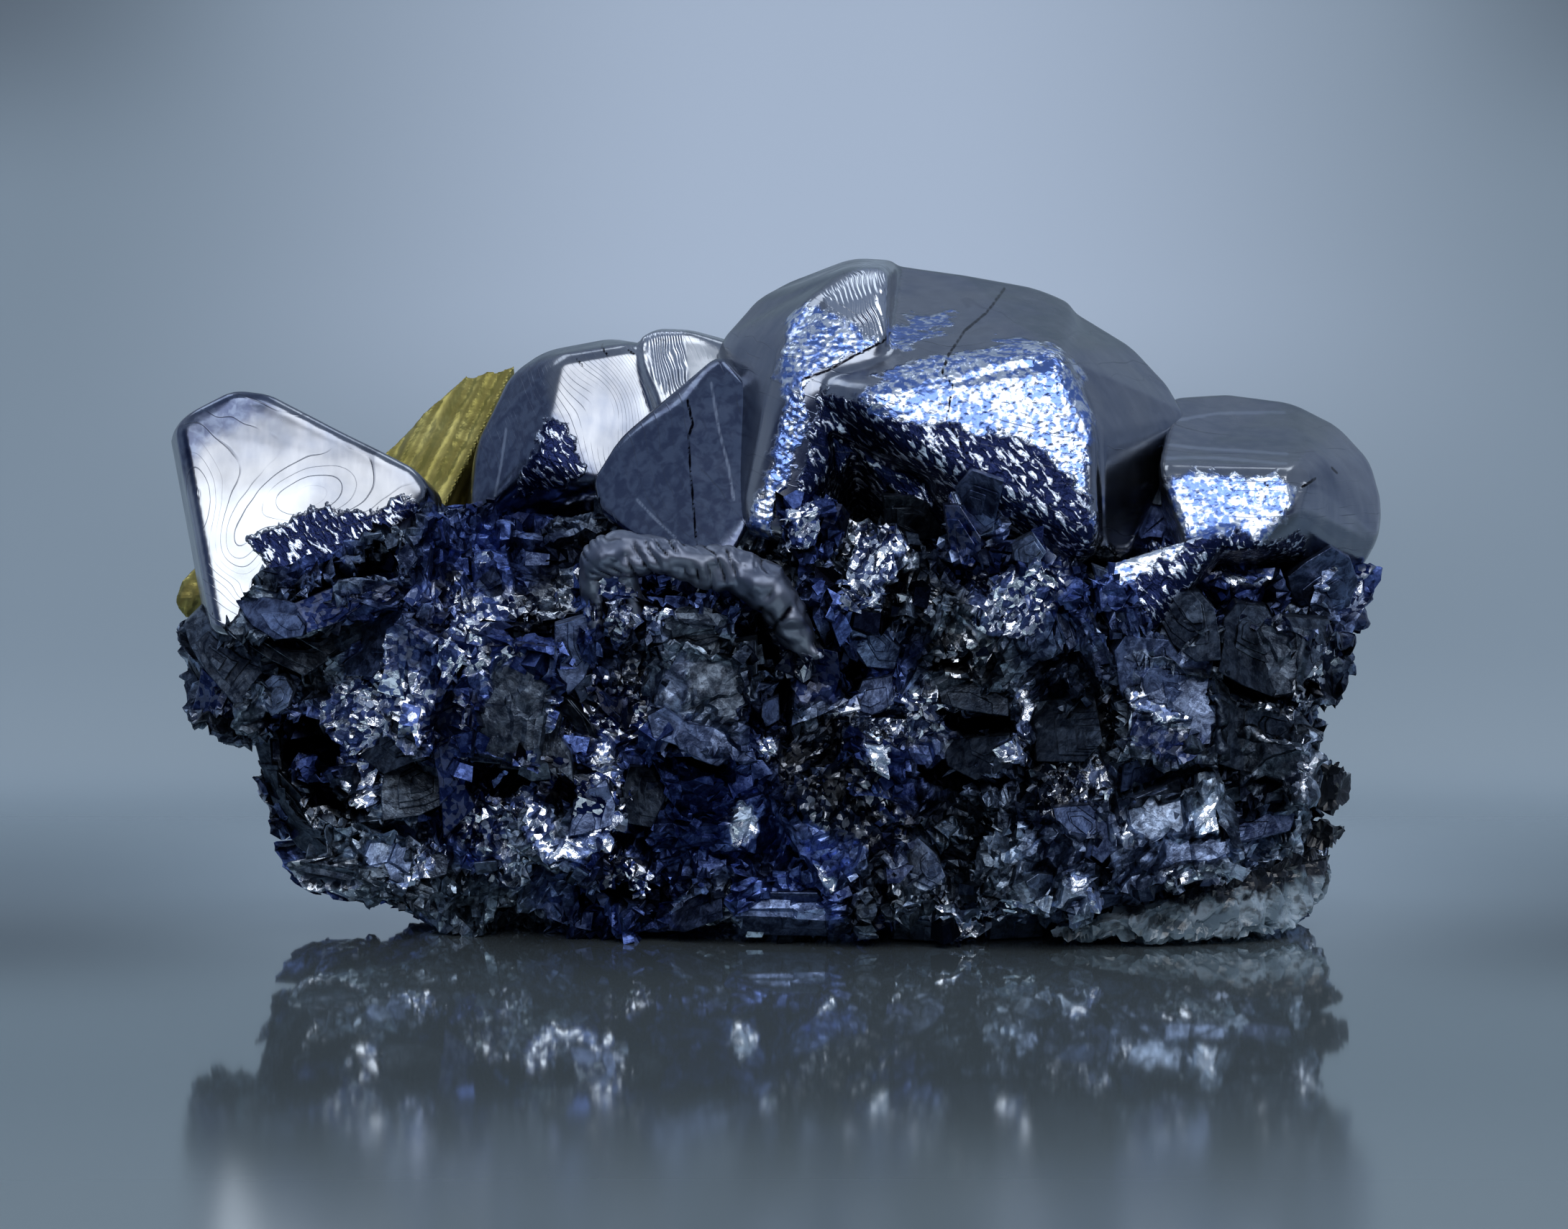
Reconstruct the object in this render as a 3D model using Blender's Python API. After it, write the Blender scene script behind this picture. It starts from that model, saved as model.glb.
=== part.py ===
"""A hand specimen of galena with chalcopyrite, resting on the flat of its broken underside.

Rounded galena crystals stand on a body of broken, massive galena: a tilted tablet at the left, a dome
behind it, a shield in front of the dome, one great crystal and a lower dome at the right. They grew
together with the body, so all of the galena is one solid. Two chalcopyrite crystals, a seam of quartz
and two quartz knobs are other minerals, each a solid of its own, seated in pockets in the galena.

Metres, +Z up, X across the front and -Y towards the front. Corners are written in millimetres as
(x, y, z). The origin is at the middle of the bounding box, on the plane that the specimen rests on.
"""

import math
import random

import bmesh
import bpy
from mathutils import Euler, Matrix, Vector

MM = 0.001

# Fits between the minerals, and the finish of the cut and rounded edges
POCKET_GAP = 0.3 * MM
MERGE = 0.002 * MM
FLAT_ANGLE = math.radians(9)

# The three materials: base colour, roughness, metallic
GALENA = ("galena", (0.20, 0.21, 0.25), 0.25, 1.0)
CHALCOPYRITE = ("chalcopyrite", (0.46, 0.36, 0.08), 0.38, 1.0)
QUARTZ = ("quartz", (0.62, 0.65, 0.66), 0.30, 0.0)

# The broken body, ring by ring: what it rests on, its lower edge, its girth, its shoulder and the saddle
# that the crystals stand on. Then its lumps
BODY = [
    (-14, -9.1, -0.6), (0, -10.1, -0.6), (14, -10.1, -0.6), (27, -9.1, -0.6), (35, -3.6, -0.4), (34, 8.4, -0.4),
    (24, 15.4, -0.6), (4, 16.9, -0.6), (-12, 14.4, -0.6), (-20, 4.4, -0.6), (-20, -5.6, -0.6),
    (-24, -12.6, 3), (-10, -16.1, 1.7), (6, -16.6, 1.5), (20, -16.6, 1.5), (32, -14.1, 2.2), (38, -8.6, 3),
    (39, 3.4, 3), (35, 12.4, 3), (18, 19.4, 3), (-6, 19.4, 3.5), (-24, 15.4, 4), (-33, 4.4, 5),
    (-33, -5.6, 4.4),
    (-36, -7.6, 9.1), (-31, -14.1, 9.1), (-18, -19.1, 9.1), (4, -20.4, 9.1), (24, -20.1, 8.1),
    (35.5, -15.6, 8.6),
    (39.5, -5.6, 10.1), (38.5, 9.4, 9.1), (27, 18.4, 9.1), (4, 21.4, 9.1), (-18, 19.4, 9.6),
    (-32, 12.4, 10.1),
    (-39, -7.6, 21.1), (-35, -13.6, 21.7), (-22, -17.1, 22.7), (-8, -18.1, 24.1), (6, -18.1, 24.1),
    (20, -18.1, 23.6),
    (32, -16.6, 23.1), (39.5, -9.6, 23.1), (40, 3.4, 22.6), (35, 14.4, 21.6), (20, 19.9, 24.1),
    (0, 20.9, 25.1),
    (-20, 18.9, 24.1), (-35, 10.4, 21.7),
    (-33, -6.6, 26.6), (-24, -9.6, 29.1), (-8, -11.6, 29.5), (8, -11.6, 29.1), (22, -10.6, 28.7),
    (33, -9.6, 28.3),
    (39, -2.6, 27.7), (37, 7.4, 26.1), (20, 15.4, 29.1), (0, 16.4, 30.1), (-18, 13.4, 30.1), (-31, 8.4, 27.1),
]
LEFT_LUMP = [
    (-43.6, -7.6, 21.9), (-43.9, -4.6, 20.3), (-42.8, -7.6, 18.1), (-43.2, -6.6, 15.5), (-41.8, -8.6, 14.6),
    (-38, -13.6, 13.9), (-35, -15.1, 17.7), (-37, -13.6, 23.3), (-41, -0.6, 22.5), (-41, 0.4, 14.7),
    (-34, 0.4, 17.7),
]
TONGUE = [
    (-41.0, -14.6, 23.7), (-38.0, -17.2, 21.5), (-40.4, -13.6, 20.9), (-31.0, -19.2, 24.5),
    (-25.4, -18, 28.5),
    (-23.8, -14.6, 30.7), (-27.0, -16.2, 30.1), (-34.0, -16.8, 26.7), (-38.6, -14.4, 25.7),
    (-24.0, -17.2, 24.1),
    (-33.0, -11.6, 20.1), (-24.0, -9.6, 29.7),
]
SADDLE = [
    (24, -6.6, 31.5), (31, -6.6, 31.2), (25, 10.4, 32), (32, 10.4, 31.5), (24, -8.6, 25), (33, -8.6, 25),
    (24, 12.4, 25),
    (33, 12.4, 25),
]
RIGHT_LUMP = [
    (43.2, -5.6, 18.3), (42.8, -4.6, 22.1), (41.8, 4.4, 18.7), (41.6, 4.4, 22.7), (36, -14.6, 17.2),
    (37, -14.1, 23.7),
    (31, -17.6, 17.7), (30.5, -17.6, 23.7), (32, 4.4, 19.7),
]
RIGHT_KNOB = [
    (44.6, -5.6, 24.7), (44.4, -5.6, 26.7), (42.6, -5.6, 28.3), (43.6, -5.6, 22.1), (40.4, -12.1, 27.3),
    (39.4, -12.6, 24.1), (41, -10.6, 21.5), (42.8, 0.4, 27.1), (42.4, 0.4, 22.7), (38, -3.6, 24.7),
]

# The galena crystals. Each lobe is the hull of its corners: (bevel in mm, corners)
LEFT_TABLET = (1.1, [
    (-43.3, -11.8, 36.9), (-42.2, -11.7, 38.1), (-39.0, -11.5, 39.6), (-36.6, -11.5, 39.4),
    (-25.8, -12.6, 34), (-24.6, -12.6, 32.1), (-27.5, -13.8, 28.9), (-36.0, -15.7, 21.3),
    (-40.4, -15.4, 22.3),
    (-44.5, -4.6, 36.3), (-40.2, -3.8, 39.1), (-36.5, -2.6, 38.3), (-24.2, -3.6, 31.5),
    (-41.8, -4.6, 21.3), (-38.0, 3.9, 30.7), (-30.0, 4.9, 25.7), (-40.0, 2.4, 21.7), (-25.5, 2.9, 25.7),
])
BACK_DOME = (1.6, [
    (-16.2, -2.6, 41.9), (-9.8, -2.8, 42.9), (-7.8, -4.2, 37.7), (-12.4, -5.4, 32.1), (-17.6, -5.2, 34.1),
    (-23.3, -0.6, 28.2), (-22.2, 0.4, 35.5), (-19.8, 2.9, 40.3), (-17.2, 4.4, 42.1), (-12.2, 5.4, 43),
    (-22.5, 9.4, 29.7), (-20.0, 13.4, 33.7), (-14.0, 15.4, 35.7), (-7.0, 14.4, 33.7), (-8.0, 9.4, 41.7),
    (-16.0, 16.4, 25.7), (-6.0, 8.4, 25.7),
])
BACK_DOME_SHOULDER = (0.9, [
    (-10.4, -3.0, 42.9), (-8.7, -2.6, 43.7), (-6.2, -2.4, 43.6), (-2.6, -1.8, 42.6), (-4.2, -3.4, 39.9),
    (-8.7, 0.9, 43.8), (-6.2, 1.9, 43.7), (-2.6, 2.9, 42.7),
    (-8.4, -4.8, 38.5), (-7.4, -4.8, 30.7), (-8.6, 7.4, 42.6), (-3.0, 9.4, 40.7), (-5.0, 11.4, 33.7),
    (-1.0, 6.4, 31.7),
])
SHIELD = (0.7, [
    (-13.2, -10.6, 33.1), (-11.4, -10.6, 35.9), (-12.6, -12.2, 30.7), (-8.0, -10, 38.1), (-6.4, -11.3, 38.9),
    (-4.0, -9.0, 42.1), (-0.6, -11.8, 38.7), (-1.2, -16.6, 30.9), (-2.8, -17.8, 27.9), (-5.6, -17.8, 27.7),
    (-10.4, -15.2, 29.3), (-6.0, -1.6, 40.1), (-2.0, -1.6, 41.7), (-12.0, -3.6, 29.7), (-6.0, -7.6, 24.7),
])
GREAT_LEFT = (0.9, [
    (-4.2, -3.6, 42.7), (-1.6, -1.6, 45.9), (0.9, 0.4, 47.2), (6.0, 3.4, 49.1), (9.6, 5.4, 48.8),
    (0.8, -15.2, 42.9), (-0.4, -16.4, 38.3), (-2.1, -18.2, 29.9), (2.6, -17.0, 40.2), (2.4, -17.2, 33.7),
    (1.4, -18.0, 28.7), (2.8, -12.9, 46.4), (8.4, -15.2, 42.9), (8.2, -12.6, 48.5), (5.6, -10.6, 48.5),
    (-4.0, 8.4, 37.7), (0.0, 12.4, 41.7), (6.0, 14.4, 42.7), (-2.0, 10.4, 25.7), (6.0, -5.6, 25.7),
])
GREAT_FRONT = (1.0, [
    (2.8, -17.4, 40.1), (6.6, -19.4, 39.9), (19.4, -17.2, 42.3), (20.8, -16.6, 42.2), (23.2, -18.2, 36.5),
    (23.4, -20.0, 28.7), (16.6, -19.6, 35.1), (9.6, -20, 35.9), (8.2, -14, 42.7), (7.0, 5, 49.0),
    (14.4, 3.4, 47.9), (19.8, 2.4, 46.9), (22.8, 1.4, 45.5), (5.0, 13.4, 41.7), (14.0, 16.4, 41.7),
    (22.0, 14.4, 38.7), (14.0, 17.4, 25.7), (24.0, 12.4, 25.7), (7.0, -7.6, 28.7), (18.0, -11.6, 23.7),
])
GREAT_RIGHT = (1.1, [
    (21.0, -14.6, 42.3), (20.4, 2.4, 46.3), (26.8, 0.9, 42.5), (29.4, -0.6, 39.6), (30.6, -3.6, 37.5),
    (28.6, -8, 35.9), (26.8, -11.2, 33.9), (25.6, -14.6, 27.7), (23.4, -17.4, 36.3), (23.6, -18.8, 27.7),
    (24.0, 13.4, 35.7), (28.0, 8.4, 35.7), (28.0, 6.4, 25.7), (22.0, 0.4, 25.7),
])
RIGHT_DOME = (1.5, [
    (27.6, -15.8, 34.3), (38.2, -15.3, 34.1), (37.8, -16.2, 30.9), (34.4, -17.5, 28.5), (29.8, -18, 28.1),
    (29.6, 0.4, 38.8), (33.9, 3.4, 38.9), (38.8, 2.9, 38.3), (42.2, 1.4, 36.6), (44.5, -0.6, 34),
    (45.2, -2.6, 30.9), (44.8, -4.6, 28.5), (43.4, -5.6, 26.3), (40.6, -10.4, 31.1),
    (31.0, 12.4, 34.7), (38.0, 12.4, 33.7), (43.0, 8.4, 28.7), (30.0, 12.4, 23.7), (41.0, 6.4, 23.7),
])
RIGHT_FOOT = (0.6, [
    (23.4, -19.2, 27.3), (28.8, -18.2, 26.7), (31.0, -18.2, 29.3), (33.4, -17.4, 30.3), (26.0, -20, 22.9),
    (27.4, -19.2, 22.7), (25.0, -11.6, 25.7), (33.0, -11.6, 27.7),
])
CRYSTALS = [
    LEFT_TABLET, BACK_DOME, BACK_DOME_SHOULDER, SHIELD, GREAT_LEFT, GREAT_FRONT, GREAT_RIGHT, RIGHT_DOME,
    RIGHT_FOOT,
]

# Small crystals and cleavage blocks that stand out of the body by themselves:
# (centre, size across x, y, z, turn about x, y, z in degrees)
NAMED_BLOCKS = [
    ((-25.0, -19.6, 19.2), (5.5, 4.0, 8.5), (10, 28, -14)),     # leaning blade below the tongue
    ((-39.8, -10.6, 16.6), (4.0, 5.0, 3.6), (12, 22, 30)),      # left lump's foot
    ((-36.6, -14, 16.5), (3.4, 3.0, 3.6), (20, 40, 12)),      # pale cube on the left lump
    ((2.6, -17.8, 29.3), (3.8, 4.0, 5.2), (14, -16, 22)),       # bright knob beside the shield
    ((8.0, -19, 26.3), (4.0, 4.4, 6.0), (-18, 24, 36)),       # bright-edged pyramid
    ((5.6, -19.4, 24.1), (4.6, 4.0, 4.2), (24, -30, 18)),       # wedge left of the pyramid
    ((14.6, -17.8, 30.3), (3.2, 3.4, 6.4), (-14, 12, 24)),      # tapered prism under the great face
    ((19.0, -19.2, 26.3), (4.8, 5.0, 4.8), (38, 34, 20)),       # pyramid below the great crystal
    ((24.8, -19.8, 23.3), (1.2, 4.6, 7.0), (-6, -24, 8)),       # first of three cleavage plates
    ((26.5, -19.4, 22.7), (1.2, 4.6, 6.6), (-6, -24, 8)),       # second plate
    ((22.9, -20, 22.1), (1.4, 4.6, 6.0), (-6, -24, 8)),       # third plate
    ((30.0, -18.2, 21.3), (5.2, 5.0, 5.2), (30, 20, 40)),       # dark knob under the right foot
    ((35.6, -16.8, 19.9), (6.2, 4.6, 6.8), (-6, 12, -14)),      # broad cleavage face
    ((39.0, -13, 19.3), (4.2, 4.6, 6.4), (-4, 8, -42)),       # its neighbour round the corner
    ((35.6, -17, 12.9), (7.4, 4.2, 4.8), (4, 4, -18)),        # face below the open gap
    ((28.2, -20.6, 16.7), (7.2, 4.4, 7.4), (-12, 6, 8)),        # pale face beside the gap
    ((-5.0, -22, 17.9), (7.4, 4.0, 7.4), (-6, 3, 4)),         # square face under the ridge
    ((-6.0, -21.4, 23.1), (6.4, 4.0, 3.4), (14, 2, 6)),         # ledge above it
    ((-18.5, -21.2, 17.9), (6.6, 4.4, 9.0), (-4, 8, -10)),      # dark block at mid left
    ((7.2, -21.2, 13.3), (3.6, 3.4, 3.4), (26, 12, 30)),        # mirror-bright chip
    ((-2.4, -22.2, 8.7), (3.4, 3.4, 5.4), (8, 30, 20)),        # pale chip at mid height
    ((-14.0, -21, 9.1), (6.4, 4.6, 6.2), (-20, 26, -12)),    # lower left bright block
    ((-28.6, -16, 5.5), (7.6, 5.0, 4.4), (-26, 14, -20)),     # sloping face at the lower left
    ((28.0, -21.4, 8.1), (9.2, 4.6, 6.6), (-10, -6, 6)),       # grey face at the lower right
    ((19.0, -21.6, 5.9), (7.6, 4.6, 6.2), (-14, 10, -6)),       # its neighbour
    ((11.6, -19.2, 3.6), (6.6, 4.6, 3.4), (-18, -4, 4)),        # striped block near the base
    ((2.4, -18.6, 3.2), (10.0, 4.6, 3.6), (-20, 3, -4)),        # low block near the base
]

# The ribbed ridge that arches across the front: (centre, half thickness)
RIDGE = [
    ((-12.6, -20.8, 22.3), 1.0), ((-12.9, -21.4, 25.7), 1.2), ((-12.0, -21.8, 27.9), 1.4),
    ((-9.8, -22, 28.3), 1.6), ((-7.0, -22, 27.7), 1.7), ((-4.2, -21.8, 27.3), 1.8),
    ((-1.8, -21.6, 26.4), 1.9), ((0.3, -21.4, 24.9), 1.8), ((1.8, -21.2, 22.9), 1.7),
    ((2.8, -20.6, 21.1), 1.3),
]
RIDGE_SIDES = 8
RIDGE_RIB = 0.10        # how much each second ring stands proud, as a share of its radius
RIDGE_SPUR = [((-11.2, -21.8, 27.5), 1.0), ((-10.6, -22, 25.1), 0.9), ((-10.8, -21.6, 22.3), 0.9)]

# Hollows: hulls that are cut away
UNDER_GREAT = [
    (3.4, -23.6, 38.9), (4.4, -23.6, 30.7), (8.6, -23.6, 35.3), (12.6, -23.6, 34.3), (13.4, -23.6, 29.3),
    (4.0, -15.1, 36.7), (5.0, -14.1, 30.7), (11.0, -14.6, 33.1), (12.4, -15.6, 29.7),
]
UNDER_TABLET = [
    (-34.4, -20.6, 25.7), (-26.6, -20.6, 29.5), (-25.6, -20.6, 26.7), (-34.0, -20.6, 24.6),
    (-30.4, -10.6, 26.1), (-26.8, -10.6, 27.7),
]
BESIDE_RIGHT_DOME = [
    (25.9, -20.6, 29.1), (28.6, -20.6, 29.3), (26.6, -20.6, 34.7), (26.4, -11.1, 29.7), (28.0, -11.6, 30.7),
    (27.2, -11.1, 33.1),
]
OPEN_GAP = [
    (32.2, -23.6, 16.9), (32.4, -23.6, 15.5), (40.0, -23.6, 15.1), (44.0, -17.6, 15.0), (44.0, -11.6, 16.8),
    (44.0, -10.6, 15.2), (34.0, -14.1, 15.9), (39.0, -10.1, 15.6), (39.0, -10.1, 16.4),
]
HOLLOWS = [UNDER_GREAT, UNDER_TABLET, BESIDE_RIGHT_DOME, OPEN_GAP]

# The other minerals
WEDGE = [
    (-29.4, 5.4, 34.1), (-25.4, 7.4, 38.1), (-23.2, 9.4, 40.1), (-19.6, 11.4, 40.8), (-24.4, -1, 30.5),
    (-27.2, 2, 32.3), (-30.4, 11.4, 26.7), (-25.0, 16.4, 27.7), (-19.0, 17.4, 28.7), (-21.0, 6.4, 26.7),
    (-28.0, 2.4, 25.7),
]
WEDGE_LEAN = (0.9, 0, -0.42)
WEDGE_GROOVES = 8
WEDGE_GROOVE_DEPTH = 0.3 * MM
SMALL_CHALCOPYRITE = [
    (-42.9, 3, 26.3), (-44.3, 2, 24.9), (-44.8, 1.8, 23.3), (-44.0, 2.2, 22.1), (-42.4, 3.8, 21.3),
    (-43.4, 6, 24.5), (-41.0, 6.8, 25.9), (-40.4, 5.4, 21.9), (-40.8, 1.6, 24.1),
]
QUARTZ_SEAM = [
    (19.5, -19.8, 1.0), (27, -20, 0.8), (35, -17.4, 0.6), (38.5, -13.2, 1.3), (40.2, -10, 2.8),
    (40.8, -7.6, 4.2), (40.6, -6.6, 5.4), (25, -20.2, 2.3), (31.5, -19.2, 3.9), (36.5, -15.4, 5.4),
    (40.2, -9.4, 5.6), (24, -14.6, 0.5), (33, -11.6, 0.7), (38, -4.6, 2.4), (38.6, -3.6, 4.4),
]
QUARTZ_KNOB_UPPER = [
    (40.8, -8.6, 12.1), (42.1, -7.6, 11.3), (42.1, -7, 9.3), (41.0, -8.4, 8.6), (41.9, -4, 11.3),
    (40.2, -3.2, 10.3), (38.6, -8.6, 10.5), (38.4, -5.6, 8.9),
]
QUARTZ_KNOB_LOWER = [
    (41.0, -8.2, 7.7), (41.9, -6.8, 7.1), (41.8, -6, 6.3), (40.6, -8.2, 6.1), (41.0, -3.6, 7.3),
    (39.8, -3.8, 6.3), (38.2, -8, 6.9),
]

# The cleavage blocks that crowd the body, all cut by one plan so that each run is alike
BLOCK_SEED = 11
BLOCKS = 105
SPREAD_TRIES = 12       # places weighed up for each block, of which it takes the emptiest
GRAINS = 16             # patches of the body that share one cleavage direction
BLOCK_SIZE = (4.2, 9.0)
BLOCK_SUNK = 0.40       # how far a block's centre lies inside the surface, as a share of its size
BARE_ABOVE = 29.0 * MM  # no blocks where the crystals stand
ROUGH = 0.7 * MM        # how far the body's own facets are knocked about


def remove_everything():
    for obj in list(bpy.data.objects):
        bpy.data.objects.remove(obj)


def material(name, colour, roughness, metallic):
    """One Principled finish."""
    made = bpy.data.materials.new(name)
    made.use_nodes = True
    shader = made.node_tree.nodes["Principled BSDF"]
    shader.inputs["Base Color"].default_value = (*colour, 1)
    shader.inputs["Roughness"].default_value = roughness
    shader.inputs["Metallic"].default_value = metallic
    return made


def new_object(name, bm, finish=None):
    """Puts a bmesh into the scene as an object, and frees it."""
    mesh = bpy.data.meshes.new(name)
    bm.to_mesh(mesh)
    bm.free()
    obj = bpy.data.objects.new(name, mesh)
    bpy.context.scene.collection.objects.link(obj)
    if finish:
        mesh.materials.append(finish)
    return obj


def hull(corners, flat_angle=FLAT_ANGLE):
    """A bmesh of the hull of corners in millimetres, with nearly level triangles joined into faces."""
    bm = bmesh.new()
    for corner in corners:
        bm.verts.new(Vector(corner) * MM)
    made = bmesh.ops.convex_hull(bm, input=bm.verts)
    inside = {item for item in made["geom_interior"] if isinstance(item, bmesh.types.BMVert)}
    bmesh.ops.delete(bm, geom=list(inside), context="VERTS")
    bmesh.ops.dissolve_limit(bm, angle_limit=flat_angle, verts=bm.verts, edges=bm.edges)
    bmesh.ops.recalc_face_normals(bm, faces=bm.faces)
    return bm


def crystal(bevel_mm, corners):
    """A hull with its edges rounded off, as galena's are where it has been etched."""
    bm = hull(corners)
    bmesh.ops.bevel(
        bm, geom=bm.edges, offset=bevel_mm * MM, offset_type="OFFSET", segments=2, profile=0.5,
        affect="EDGES", clamp_overlap=True,
    )
    bmesh.ops.triangulate(bm, faces=bm.faces)
    return bm


def block(centre, size, turn):
    """A cleavage block: a box at centre, turned by a rotation matrix. All lengths are in metres."""
    bm = bmesh.new()
    place = Matrix.Translation(centre) @ turn.to_4x4() @ Matrix.Diagonal((*size, 1))
    bmesh.ops.create_cube(bm, size=1, matrix=place)
    return bm


def named_block(centre, size, degrees):
    turn = Euler([math.radians(angle) for angle in degrees]).to_matrix()
    return block(Vector(centre) * MM, Vector(size) * MM, turn)


def rod(stations, rib=0.0):
    """A closed tube round a line of (centre, radius) stations, each second ring swollen by rib."""
    bm = bmesh.new()
    centres = [Vector(centre) * MM for centre, _ in stations]
    rings = []
    for i, (_, radius) in enumerate(stations):
        before = centres[max(i - 1, 0)]
        after = centres[min(i + 1, len(centres) - 1)]
        turn = (after - before).to_track_quat("Z", "Y").to_matrix()
        reach = radius * MM * (1 + rib * (i % 2))
        ring = []
        for side in range(RIDGE_SIDES):
            angle = 2 * math.pi * side / RIDGE_SIDES
            rim = Vector((math.cos(angle), math.sin(angle), 0)) * reach
            ring.append(bm.verts.new(centres[i] + turn @ rim))
        rings.append(ring)
    for lower, upper in zip(rings, rings[1:]):
        for side in range(RIDGE_SIDES):
            after = (side + 1) % RIDGE_SIDES
            bm.faces.new((lower[side], lower[after], upper[after], upper[side]))
    bm.faces.new(reversed(rings[0]))
    bm.faces.new(rings[-1])
    bmesh.ops.recalc_face_normals(bm, faces=bm.faces)
    return bm


def rough_body():
    """The hull of the body, its long facets split and knocked in and out."""
    rng = random.Random(BLOCK_SEED)
    bm = hull(BODY, 0)
    for longest in (11 * MM, 8 * MM):
        bmesh.ops.triangulate(bm, faces=bm.faces)
        long_edges = [edge for edge in bm.edges if edge.calc_length() > longest]
        bmesh.ops.subdivide_edges(bm, edges=long_edges, cuts=1)
    bmesh.ops.triangulate(bm, faces=bm.faces)
    bm.normal_update()
    for vert in bm.verts:
        if vert.co.z > 0:
            vert.co += vert.normal * rng.uniform(-ROUGH, ROUGH)
    return bm


def bedded_points(bm, rng):
    """Points spread evenly over a body's sides, each with the way that its facet faces."""
    sides = [face for face in bm.faces if face.normal.z > -0.9 and face.calc_center_median().z < BARE_ABOVE]
    areas = [face.calc_area() for face in sides]
    points = []

    def emptiness(new):
        return min(((old - new[0]).length for old, _ in points), default=1)

    for _ in range(BLOCKS):
        tries = []
        for face in rng.choices(sides, areas, k=SPREAD_TRIES):
            a, b = sorted((rng.random(), rng.random()))
            first, second, third = (vert.co for vert in face.verts)
            spot = first * a + second * (b - a) + third * (1 - b)
            tries.append((spot, face.normal.copy()))
        points.append(max(tries, key=emptiness))
    return points


def cleavage_blocks(body):
    """Blocks bedded in the body's surface. Those of one grain share a direction, as cleaved galena's do."""
    rng = random.Random(BLOCK_SEED)
    points = bedded_points(body, rng)
    grains = [
        (rng.choice(points)[0], Euler([rng.uniform(-0.7, 0.7) for _ in range(3)]).to_matrix())
        for _ in range(GRAINS)
    ]
    blocks = []
    for spot, outward in points:
        turn = min(grains, key=lambda grain: (grain[0] - spot).length)[1]
        size = Vector([rng.uniform(*BLOCK_SIZE) * MM for _ in range(3)])
        blocks.append(block(spot - outward * sum(size) / 3 * BLOCK_SUNK, size, turn))
    return blocks


def joined(name, shapes, finish=None):
    """One object out of several closed shapes, still overlapping."""
    bm = bmesh.new()
    for shape in shapes:
        mesh = bpy.data.meshes.new(name)
        shape.to_mesh(mesh)
        shape.free()
        bm.from_mesh(mesh)
        bpy.data.meshes.remove(mesh)
    return new_object(name, bm, finish)


def as_cutter(obj):
    obj.hide_render = True
    obj.display_type = "WIRE"
    return obj


def cut(obj, cutter):
    """Takes the cutter away from obj and resolves each one's own overlaps on the way."""
    modifier = obj.modifiers.new("Cut away", "BOOLEAN")
    modifier.operation = "DIFFERENCE"
    modifier.solver = "EXACT"
    modifier.use_self = True
    modifier.object = cutter


def shells(bm):
    """The faces of each closed shell of a mesh."""
    left = set(bm.faces)
    found = []
    while left:
        reached = [left.pop()]
        for face in reached:
            near = {other for edge in face.edges for other in edge.link_faces if other in left}
            left -= near
            reached += near
        found.append(reached)
    return found


def keep_largest(obj):
    """Works out obj's modifiers and keeps its largest shell: no loose crumb and no sealed void is left."""
    bm = bmesh.new()
    bm.from_object(obj, bpy.context.evaluated_depsgraph_get())
    bmesh.ops.remove_doubles(bm, verts=bm.verts, dist=MERGE)
    bmesh.ops.dissolve_degenerate(bm, edges=bm.edges, dist=MERGE)
    bmesh.ops.triangulate(bm, faces=bm.faces)
    found = sorted(shells(bm), key=len)
    bmesh.ops.delete(bm, geom=[face for shell in found[:-1] for face in shell], context="FACES")
    obj.modifiers.clear()
    bm.to_mesh(obj.data)
    bm.free()


def pocket(corners):
    """The hull of a guest's corners, grown by the gap that keeps one mineral clear of the next."""
    reach = POCKET_GAP / MM
    signs = [(x, y, z) for x in (-reach, reach) for y in (-reach, reach) for z in (-reach, reach)]
    return hull([Vector(corner) + Vector(sign) for corner in corners for sign in signs], 0)


def ground_plane():
    """A box whose top is the plane that the specimen rests on."""
    return block(Vector((0, 0, -20)) * MM, Vector((140, 100, 40)) * MM, Matrix.Identity(3))


def grooved(bm):
    """Slices a hull square to WEDGE_LEAN and draws each second slice in, which leaves striations."""
    lean = Vector(WEDGE_LEAN).normalized()
    reaches = [vert.co.dot(lean) for vert in bm.verts]
    low, high = min(reaches), max(reaches)
    cuts = [low + (high - low) * (i + 1) / (2 * WEDGE_GROOVES) for i in range(2 * WEDGE_GROOVES - 1)]
    for cut in cuts:
        geom = bm.verts[:] + bm.edges[:] + bm.faces[:]
        bmesh.ops.bisect_plane(bm, geom=geom, plane_co=lean * cut, plane_no=lean)
    middle = sum((vert.co for vert in bm.verts), Vector()) / len(bm.verts)
    for cut in cuts[::2]:
        ring = [vert for vert in bm.verts if abs(vert.co.dot(lean) - cut) < MERGE]
        for vert in ring:
            inward = middle - vert.co
            inward -= lean * inward.dot(lean)
            vert.co += inward.normalized() * WEDGE_GROOVE_DEPTH
    bmesh.ops.triangulate(bm, faces=bm.faces)
    return bm


def centre_on_origin(objects):
    """Slides everything so that the middle of the bounding box, seen from above, is the origin."""
    spots = [vert.co for obj in objects for vert in obj.data.vertices]
    middle = [(min(spot[axis] for spot in spots) + max(spot[axis] for spot in spots)) / 2 for axis in (0, 1)]
    for obj in objects:
        obj.data.transform(Matrix.Translation((-middle[0], -middle[1], 0)))


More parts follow.
